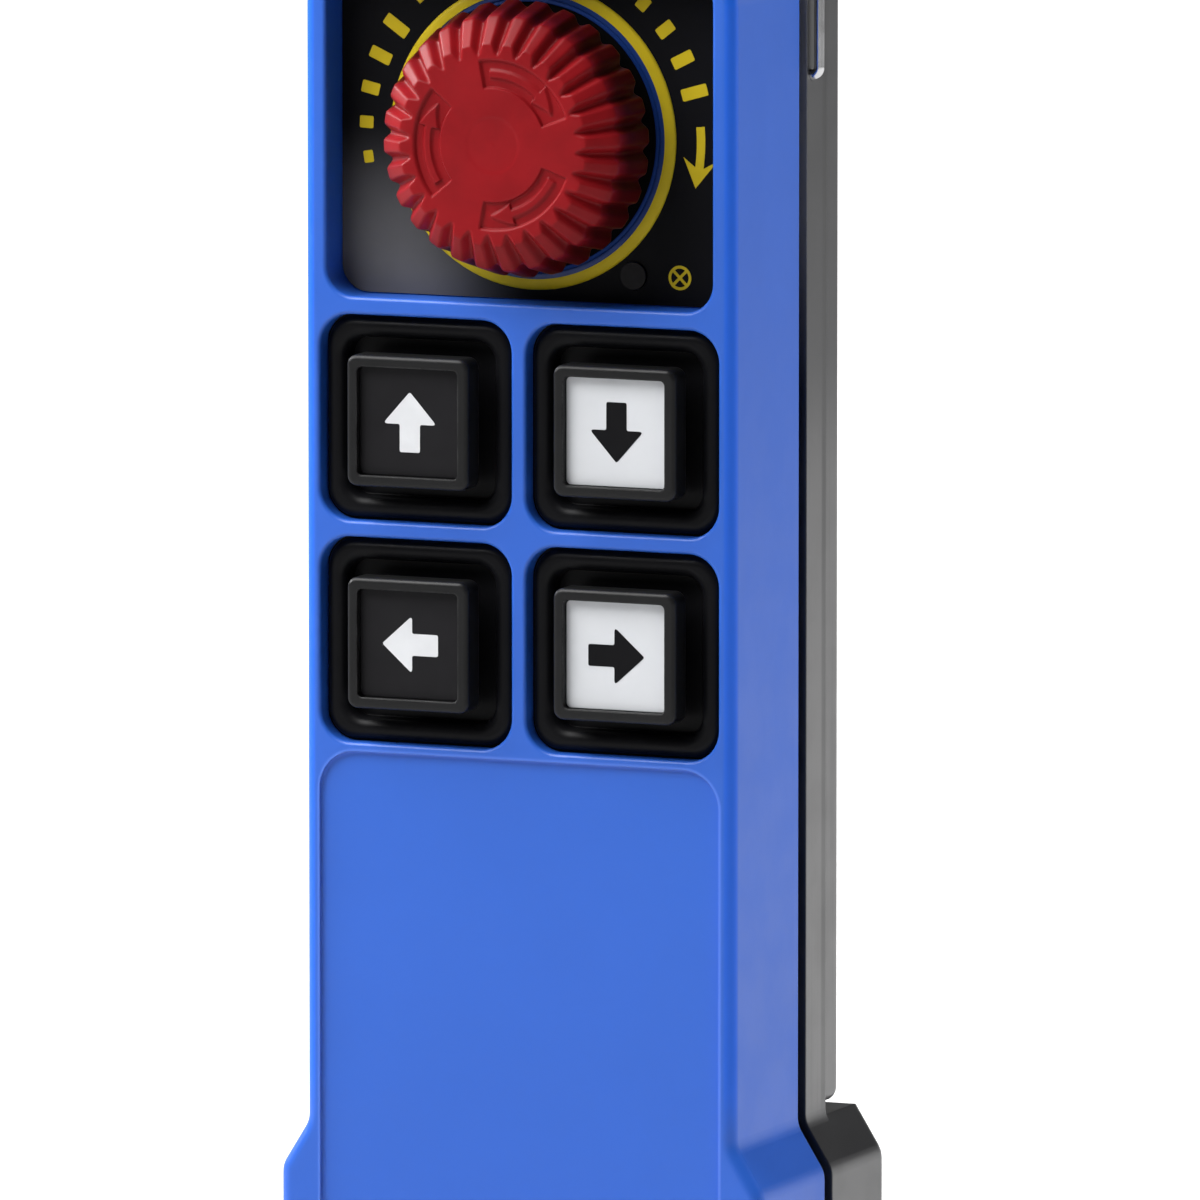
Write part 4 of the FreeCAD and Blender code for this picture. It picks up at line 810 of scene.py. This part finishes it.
class REMOTE_OT_stop_button(Operator):
    """Model the toothed stop head with its sunk tracks, and finish the black plastic parts"""

    bl_idname = "remote.model_stop_button"
    bl_label = "Model stop button"

    plastic_black = (0.016, 0.016, 0.017)
    flank_shade_red = (0.045, 0.0015, 0.002)
    flank_shade_reach = (-1.8 * MM, 3.4 * MM)
    flank_shade_share = 0.95
    hollow_radius = 17.5 * MM
    hollow_depth = 5.5 * MM
    hub_radius = 9.5 * MM
    hub_lift = 1.6 * MM
    bore_radius = 5.05 * MM
    bore_end = 7.6 * MM
    brow_round = 1.2 * MM
    face_round = 0.8 * MM
    face_loops = 64
    flank_step = 0.5 * MM
    upright_share = 0.3
    first_groove = math.radians(-3)
    groove_shade_share = 0.33
    gate_radius = 4.6 * MM
    gate_depth = 0.06 * MM
    steps_per_tooth = 16
    tracks = 3
    first_track = math.radians(60)
    edge = 0.3 * MM
    arrow_margin = math.radians(7)
    arrow_head = math.radians(20)
    arrow_stem_half = 0.65 * MM
    arrow_head_half = 1.75 * MM
    arrow_share = 0.8

    def execute(self, context):
        looks = context.scene.remote_stop
        red = moulded(
            "stop_red", looks.red, rough=0.36, grain=0.5, depth=0.012, drift=0.18, rubbing=0.3, patch=8,
            reach=0.25, rubbed=lighter(looks.red, gain=1.4, lift=0.02), shine=0.12,
        )
        black = moulded("black_plastic", self.plastic_black, rough=0.5, depth=0.006)
        dress(black, "stop_collar", "stop_nut", "stop_contact_block", "stop_stem", "battery_tray")
        dress(black, *(f"key_{part}_{place}" for part in ("plunger", "switch") for place in PLACES))
        low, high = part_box("stop_head")
        # Painted shade: the red is painted darker from the brow back to the rim, for the shade on the flanks
        # of the head.
        brow = low.y + looks.bevel_depth
        flank_shade_ends = (brow + reach for reach in self.flank_shade_reach)
        red.paint(self.flank_shade_red, red.spread(red.along("Y"), *flank_shade_ends, 0.0, self.flank_shade_share))
        self.radius = (high.x - low.x) / 2
        self.rise = high.y - low.y
        self.profile = self.head_profile(looks)
        points = [(radius, ahead) for radius, ahead, lean in self.profile]
        steps = looks.teeth * self.steps_per_tooth
        head = bmesh.new()
        add_turned(head, points, back_of(low, high), steps, lambda k, way: self.shape(looks, k, way))
        piece = settle(head, "stop_head_toothed", red, "stop_knob", crease=50)
        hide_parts("stop_head")
        return {"FINISHED"}

    def head_profile(self, looks):
        """Radius and forward distance from the face to the bore, and the way a groove is cut there."""
        brow = self.radius - looks.taper
        self.face = brow - looks.bevel_width
        self.upright_end = mix(self.face, brow, self.upright_share)
        corners = [
            (self.face - 2 * self.face_round, self.rise),
            (self.face, self.rise),
            (brow, self.rise - looks.bevel_depth),
            (self.radius, 0.0),
        ]
        flank = bend(corners, (0, self.face_round, self.brow_round, 0), self.flank_step)
        upright = Vector((0, 1))
        loops = self.face_loops
        profile = [(flank[0].x * k / loops, self.rise, upright) for k in range(loops)]
        for k, point in enumerate(flank):
            run = flank[min(k + 1, len(flank) - 1)] - flank[max(k - 1, 0)]
            square = Vector((-run.y, run.x)).normalized()
            lean = mix(upright, square, ease((point.x - self.upright_end) / looks.bevel_width * 2))
            profile.append((point.x, point.y, lean / lean.dot(square)))
        walls = (
            (self.hollow_radius, 0.0, self.hollow_depth),
            (self.hub_radius, self.hollow_depth, self.hub_lift),
            (self.bore_radius, self.hub_lift, self.bore_end),
        )
        profile += [(radius, ahead, None) for radius, *ends in walls for ahead in ends]
        return profile + [(0.0, self.bore_end, None)]

    def shape(self, looks, index, way):
        """One point of the head: teeth on the side and bevel, sunk tracks in the face."""
        radius, ahead, lean = self.profile[index]
        if lean is None:
            return radius, ahead
        phase = (way - self.first_groove) * looks.teeth / TURN % 1.0
        cut = looks.tooth_depth * (1 - ease(min(phase, 1 - phase) / self.groove_shade_share))
        if radius > self.upright_end:
            return radius - cut * lean.x, ahead - cut * lean.y
        slope = looks.bevel_depth / looks.bevel_width
        groove = self.rise - cut * math.hypot(1, slope) - (radius - self.face) * slope
        return radius, min(groove, ahead - self.track_sink(looks, radius, way))

    def track_sink(self, looks, radius, way):
        """How far the face is sunk at a point: the gate mark, or a track with a raised arrow in it."""
        if radius < looks.track_inner - self.edge or radius > looks.track_outer + self.edge:
            return self.gate_depth * ease((self.gate_radius - radius) / (2 * self.edge))
        third = TURN / self.tracks
        around = (way - self.first_track + third / 2) % third - third / 2
        within = min(radius - looks.track_inner, looks.track_outer - radius)
        within = min(within, (looks.track_span / 2 - abs(around)) * radius)
        sink = ease(within / self.edge) * looks.track_depth
        middle = (looks.track_inner + looks.track_outer) / 2
        return sink - min(sink, self.arrow_lift(looks, radius - middle, around))

    def arrow_lift(self, looks, out, around):
        """Height of the raised arrow inside a track, which points clockwise."""
        reach = looks.track_span / 2 - self.arrow_margin
        if around > reach or around < -reach:
            return 0.0
        half = self.arrow_stem_half
        if around < self.arrow_head - reach:
            half = self.arrow_head_half * (around + reach) / self.arrow_head
        return ease((half - abs(out)) / self.edge + 0.5) * looks.track_depth * self.arrow_share


class REMOTE_OT_keys(Operator):
    """Finish the four keys and print an arrow on each tile"""

    bl_idname = "remote.dress_keys"
    bl_label = "Dress keys"

    ink_white = (0.7, 0.71, 0.73)
    ink_black = (0.006, 0.006, 0.007)
    ink_rise = 0.03 * MM
    arrow_round = 0.35 * MM
    arrow_head_share = 0.56
    arrow_ways = dict(zip(PLACES, (0.0, math.pi, math.pi / 2, -math.pi / 2)))

    def execute(self, context):
        looks = context.scene.remote_keys
        rubber = moulded(
            "boot_rubber", looks.rubber, rough=0.38, drift=0.2, rubbing=0.05, patch=7, reach=0.25, shine=0.12
        )
        # The cap frames' rubbed edges are lightened strongly: partly wear, partly a painted highlight along
        # the frame edges.
        cap = moulded(
            "key_black", looks.black, rough=0.32, grain=0.35, depth=0.006, drift=0.15, rubbing=0.75, patch=8,
            reach=0.45, rubbed=lighter(looks.black, gain=1.0, lift=0.06), shine=0.22,
        )
        tile = {"depth": 0.003, "rubbing": 0.1, "patch": 8, "reach": 0.15}
        dark = moulded("tile_black", looks.tile_black, rough=0.45, drift=0.15, shine=0.15, **tile)
        rubbed = lighter(looks.tile_white, gain=0.9)
        pale = moulded("tile_white", looks.tile_white, rough=0.4, drift=0.03, rubbed=rubbed, **tile)
        white = ink("legend_white", self.ink_white)
        black = ink("legend_ink", self.ink_black, shine=0.1)
        for place in PLACES:
            left = place.endswith("left")
            dress(rubber, f"key_boot_{place}")
            dress(cap, f"key_cap_{place}")
            dress(dark if left else pale, f"key_tile_{place}")
            self.print_arrow(looks, place, white if left else black)
        return {"FINISHED"}

    def print_arrow(self, looks, place, finish):
        low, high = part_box(f"key_tile_{place}")
        head = looks.arrow_width * self.arrow_head_share
        corners = arrow_outline(looks.arrow_span, looks.arrow_width, looks.arrow_stem, head)
        arrow = rounded(corners, self.arrow_round)
        outline = turn_points(arrow, self.arrow_ways[place], middle_of(low, high))
        sign = bmesh.new()
        add_sign(sign, outline, low.y + SIGN_SINK, low.y - self.ink_rise)
        settle(sign, f"key_arrow_{place}", finish, f"key_{place}")


class REMOTE_OT_fasteners(Operator):
    """Model the casing screws and board screws with cross recesses, and finish the bail and the pin"""

    bl_idname = "remote.model_fasteners"
    bl_label = "Model fasteners"

    steel_grey = (0.52, 0.52, 0.53)
    wire_grey = (0.72, 0.72, 0.73)
    loops = 10
    threads = 9
    steps = 48
    shank_of_head = 0.58
    cap_of_head = 0.72
    flat_of_head = 0.86
    arm_of_head = 0.6
    half_of_head = 0.13
    edge_shares = ((0.97, 0.12), (1.0, 0.35), (1.0, 1.0))
    recess_of_cap = 0.6
    dome_of_cap = 0.16
    root_of_shank = 0.8
    crest_of_pitch = 0.4

    def execute(self, context):
        steel = metal("steel", self.steel_grey, rough=0.32)
        bail = metal("bail_steel", self.wire_grey, rough=0.2, line=0.1, depth=0.004)
        dress(steel, "door_hinge_pin")
        dress(bail, "strap_bail")
        self.model_screws("casing_screws", "casing_screws_cross", steel)
        self.model_screws("board_screws", "board_screws_cross", steel)
        return {"FINISHED"}

    def model_screws(self, node, name, finish):
        screws = bmesh.new()
        for low, high in islands(node):
            self.add_screw(screws, low, high)
        piece = settle(screws, name, finish, "casing", crease=30)
        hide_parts(node)

    def add_screw(self, screws, low, high):
        """A pan head screw with its head to the back: domed head, cross recess and threaded shank."""
        head = (high.x - low.x) / 2
        long = high.y - low.y
        shank = head * self.shank_of_head
        root = shank * self.root_of_shank
        cap = head * self.cap_of_head
        profile = [(head * self.flat_of_head * k / self.loops, 0.0) for k in range(self.loops + 1)]
        profile += [(head * out, cap * ahead) for out, ahead in self.edge_shares]
        profile.append((shank, cap))
        rise = (long - cap) / self.threads * self.crest_of_pitch
        for k in range(self.threads):
            ahead = mix(cap, long - shank, (k + 0.5) / self.threads)
            profile += [(root, ahead), (shank, ahead + rise)]
        profile += [(root, long - shank), (0.0, long)]
        arm = head * self.arm_of_head
        half = head * self.half_of_head

        def shape(index, way):
            radius, ahead = profile[index]
            if index > self.loops:
                return radius, ahead
            across = abs(math.cos(way)) * radius
            up = abs(math.sin(way)) * radius
            within = max(min(half - across, arm - up), min(half - up, arm - across))
            sink = ease(within / half + 0.5) * cap * self.recess_of_cap
            dome = cap * self.dome_of_cap * (radius / head) ** 2
            return radius, ahead + dome + sink

        add_turned(screws, profile, back_of(low, high), self.steps, shape)


class REMOTE_OT_inside(Operator):
    """Finish the board, the radio module, the lamp, the cells and their contacts"""

    bl_idname = "remote.finish_inside"
    bl_label = "Finish inside"

    tin_grey = (0.56, 0.57, 0.58)
    nickel_grey = (0.6, 0.57, 0.5)
    lamp_clear = (0.7, 0.72, 0.74)
    mask_green = (0.012, 0.09, 0.03)
    run_green = (0.03, 0.16, 0.05)
    runs_per_metre = 210.0
    run_gap = 0.04
    run_offset = 0.35
    sleeve_black = (0.012, 0.013, 0.016)
    band_copper = (0.42, 0.17, 0.055)
    band_edge = (15.0 * MM, 15.2 * MM)
    band_metal = 0.6
    end_steel = (0.6, 0.6, 0.6)
    end_edge = (24.3 * MM, 24.4 * MM)

    def execute(self, context):
        dress(self.board_mask(), "main_board")
        dress(metal("tin_can", self.tin_grey, rough=0.38, line=0.2), "radio_module")
        dress(metal("spring_steel", self.nickel_grey, rough=0.3), "contact_strip_left", "contact_strip_right")
        marks = {"grain": 0.4, "depth": 0.002, "drift": 0.1, "patch": 2}
        lamp = moulded("lamp_clear", self.lamp_clear, rough=0.15, rubbing=0.0, reach=0.1, **marks)
        dress(lamp, "indicator_lamp")
        dress(self.cell_sleeve(), *(f"battery_cell_{number}" for number in CELLS))
        return {"FINISHED"}

    def board_mask(self):
        """Green solder mask over copper runs."""
        finish = Finish("board_green")
        runs = finish.add("TexBrick", finish.place(), offset=self.run_offset)
        finish.feed(runs.inputs["Scale"], self.runs_per_metre)
        finish.feed(runs.inputs["Mortar Size"], self.run_gap)
        gaps = runs.outputs["Fac"]
        colour = finish.blend(gaps, self.mask_green, self.run_green)
        return finish.weather(
            colour, rough=0.35, spread=0.05, grain=0.4, patch=9, drift=0.2, depth=0.03, height=gaps
        )

    def cell_sleeve(self):
        """Shrink sleeve of a dry cell: a dark body with a copper band at both ends."""
        finish = Finish("cell_wrap")
        out = finish.sum("ABSOLUTE", finish.along("X"))
        band = finish.spread(out, *self.band_edge)
        steel = finish.spread(out, *self.end_edge)
        sleeve = finish.blend(band, self.sleeve_black, self.band_copper)
        colour = finish.blend(steel, sleeve, self.end_steel)
        finish.set("Metallic", finish.sum("MAXIMUM", finish.sum("MULTIPLY", band, self.band_metal), steel))
        return finish.weather(colour, rough=0.28, spread=0.06, patch=12, drift=0.15, depth=0.002)


class REMOTE_OT_stage(Operator):
    """Set the floor, the lamps, the white surround and the camera"""

    bl_idname = "remote.set_stage"
    bl_label = "Set stage"

    aim = Vector((13.7, -22.0, 120.7)) * MM
    floor_half = 6.0
    floor_drop = 0.2 * MM
    floor_grey = (0.62, 0.62, 0.62)
    floor_dim = (0.02, 0.02, 0.02)
    glow_reach = (0.3, 1.2)
    glow_shares = (0.55, 1.0)
    sheen_middle = (-0.06, -0.14, 0.0)
    sheen_reach = (1.1, 1.42)
    sheen_shares = (0.95, 0.2)
    room_dim = (0.04, 0.04, 0.04)
    backdrop_edge = (0.1, 0.5)
    backdrop_top = (0.2, 0.02)
    lamp_away = 1.3
    # Each lamp's direction from the aim, its size, and whether it shows in reflections
    lamps = {
        "key": (Vector((-0.5, -0.42, 0.76)), 1.1, True),
        "side": (Vector((0.86, 0.5, 0.22)), 0.8, False),
        "rim": (Vector((-0.9, -0.02, 0.42)), 0.5, True),
    }

    def execute(self, context):
        looks = context.scene.remote_stage
        self.lay_floor()
        for name, (way, size, mirrored) in self.lamps.items():
            self.hang_lamp(f"{name}_lamp", way, size, getattr(looks, f"{name}_power"), mirrored)
        self.set_surround(context.scene, looks.ambient)
        self.set_camera(context.scene, looks)
        context.scene.view_settings.view_transform = "Standard"
        return {"FINISHED"}

    def lay_floor(self):
        """White paper to the camera, dimmer near the remote, with a sheen where it is mirrored."""
        sheet = bmesh.new()
        bmesh.ops.create_grid(sheet, x_segments=8, y_segments=8, size=self.floor_half)
        finish = Finish("floor_white", roughness=0.9)
        paper = finish.use("moulding_grain", grain=1.5 * MM, patch=400 * MM)
        drifting = finish.use("drifting_colour", colour=self.floor_grey, drift=0.02, patches=paper["Patches"])
        rays = finish.add("LightPath").outputs
        glossy = rays["Is Glossy Ray"]
        finish.set("Base Color", finish.blend(glossy, drifting["Colour"], self.floor_dim))
        seen = finish.sum("MAXIMUM", rays["Is Camera Ray"], rays["Is Transmission Ray"])
        glow = finish.spread(finish.away((0, 0, 0)), *self.glow_reach, *self.glow_shares)
        sheen = finish.spread(finish.away(self.sheen_middle), *self.sheen_reach, *self.sheen_shares)
        mirrored = finish.sum("MULTIPLY", glossy, sheen)
        finish.set("Emission Color", WHITE)
        finish.set("Emission Strength", finish.sum("MULTIPLY_ADD", seen, glow, mirrored))
        floor = new_object(sheet, "studio_floor", finish)
        floor.location.z = -self.floor_drop

    def hang_lamp(self, name, way, size, watts, mirrored):
        lamp = bpy.data.lights.new(name, "AREA")
        lamp.shape = "DISK"
        lamp.size = size
        lamp.energy = watts
        holder = bpy.data.objects.new(name, lamp)
        self.point_at_aim(holder, way.normalized(), self.lamp_away)
        holder.visible_camera = False
        holder.visible_glossy = mirrored

    def point_at_aim(self, holder, way, away):
        """Put a lamp or the camera a distance away from the aim, and turn it there."""
        holder.location = self.aim + way * away
        holder.rotation_mode = "QUATERNION"
        holder.rotation_quaternion = (-way).to_track_quat("-Z", "Y")
        bpy.context.scene.collection.objects.link(holder)

    def set_surround(self, scene, ambient):
        """White to the camera and behind the remote, grey light for it, and a dim room in front."""
        world = bpy.data.worlds.new("studio")
        world.use_nodes = True
        tree = Tree(world.node_tree)
        world.node_tree.nodes.clear()
        colours = ((ambient,) * 3, self.room_dim, WHITE)
        grey, room, white = (tree.add("Background", colour).outputs[0] for colour in colours)
        rays = tree.add("LightPath").outputs
        glossy = rays["Is Glossy Ray"]
        sky = tree.add("TexCoord").outputs["Generated"]
        behind = tree.spread(tree.along("Y", sky), *self.backdrop_edge)
        behind = tree.sum("MULTIPLY", behind, tree.spread(tree.along("Z", sky), *self.backdrop_top))
        shown = tree.sum("MAXIMUM", rays["Is Camera Ray"], rays["Is Transmission Ray"])
        shown = tree.sum("MAXIMUM", shown, tree.sum("MULTIPLY", glossy, behind))
        around = tree.add("MixShader", glossy, grey, room).outputs[0]
        chosen = tree.add("MixShader", shown, around, white).outputs[0]
        tree.add("OutputWorld", chosen)
        scene.world = world

    def set_camera(self, scene, looks):
        camera = bpy.data.cameras.new("camera")
        camera.lens = camera.sensor_width * looks.distance / looks.view_width
        holder = bpy.data.objects.new("camera", camera)
        level = math.cos(looks.elevation)
        across = math.sin(looks.azimuth) * level
        ahead = -math.cos(looks.azimuth) * level
        self.point_at_aim(holder, Vector((across, ahead, math.sin(looks.elevation))), looks.distance)
        scene.camera = holder


class REMOTE_PT_dressing(Panel):
    """Lists the steps that dress the remote, with their sizes and colours"""

    bl_idname = "REMOTE_PT_dressing"
    bl_label = "Crane remote"
    bl_space_type = "VIEW_3D"
    bl_region_type = "UI"
    bl_category = "Remote"

    def draw(self, context):
        layout = self.layout
        for group in PROPERTY_NAMES:
            looks = getattr(context.scene, group)
            column = layout.column(align=True)
            for key in looks.__annotations__:
                column.prop(looks, key)
        for operator in OPERATORS:
            layout.operator(operator.bl_idname)


GROUPS = (make_grain_group, make_edge_group, make_patch_group, make_smudge_group)
PROPERTY_NAMES = {
    "remote_shell": ShellLooks,
    "remote_stop": StopLooks,
    "remote_keys": KeyLooks,
    "remote_stage": StageLooks,
}
OPERATORS = (
    REMOTE_OT_casings,
    REMOTE_OT_stop_legend,
    REMOTE_OT_stop_button,
    REMOTE_OT_keys,
    REMOTE_OT_fasteners,
    REMOTE_OT_inside,
    REMOTE_OT_stage,
)
CLASSES = (*PROPERTY_NAMES.values(), *OPERATORS, REMOTE_PT_dressing)


def register():
    for item in CLASSES:
        bpy.utils.register_class(item)
    for name, group in PROPERTY_NAMES.items():
        setattr(bpy.types.Scene, name, PointerProperty(type=group))


def unregister():
    for name in PROPERTY_NAMES:
        delattr(bpy.types.Scene, name)
    for item in reversed(CLASSES):
        bpy.utils.unregister_class(item)


def main():
    register()
    for make_group in GROUPS:
        make_group()
    bpy.ops.remote.finish_casings()
    bpy.ops.remote.print_stop_legend()
    bpy.ops.remote.model_stop_button()
    bpy.ops.remote.dress_keys()
    bpy.ops.remote.model_fasteners()
    bpy.ops.remote.finish_inside()
    bpy.ops.remote.set_stage()


if __name__ == "__main__":
    main()
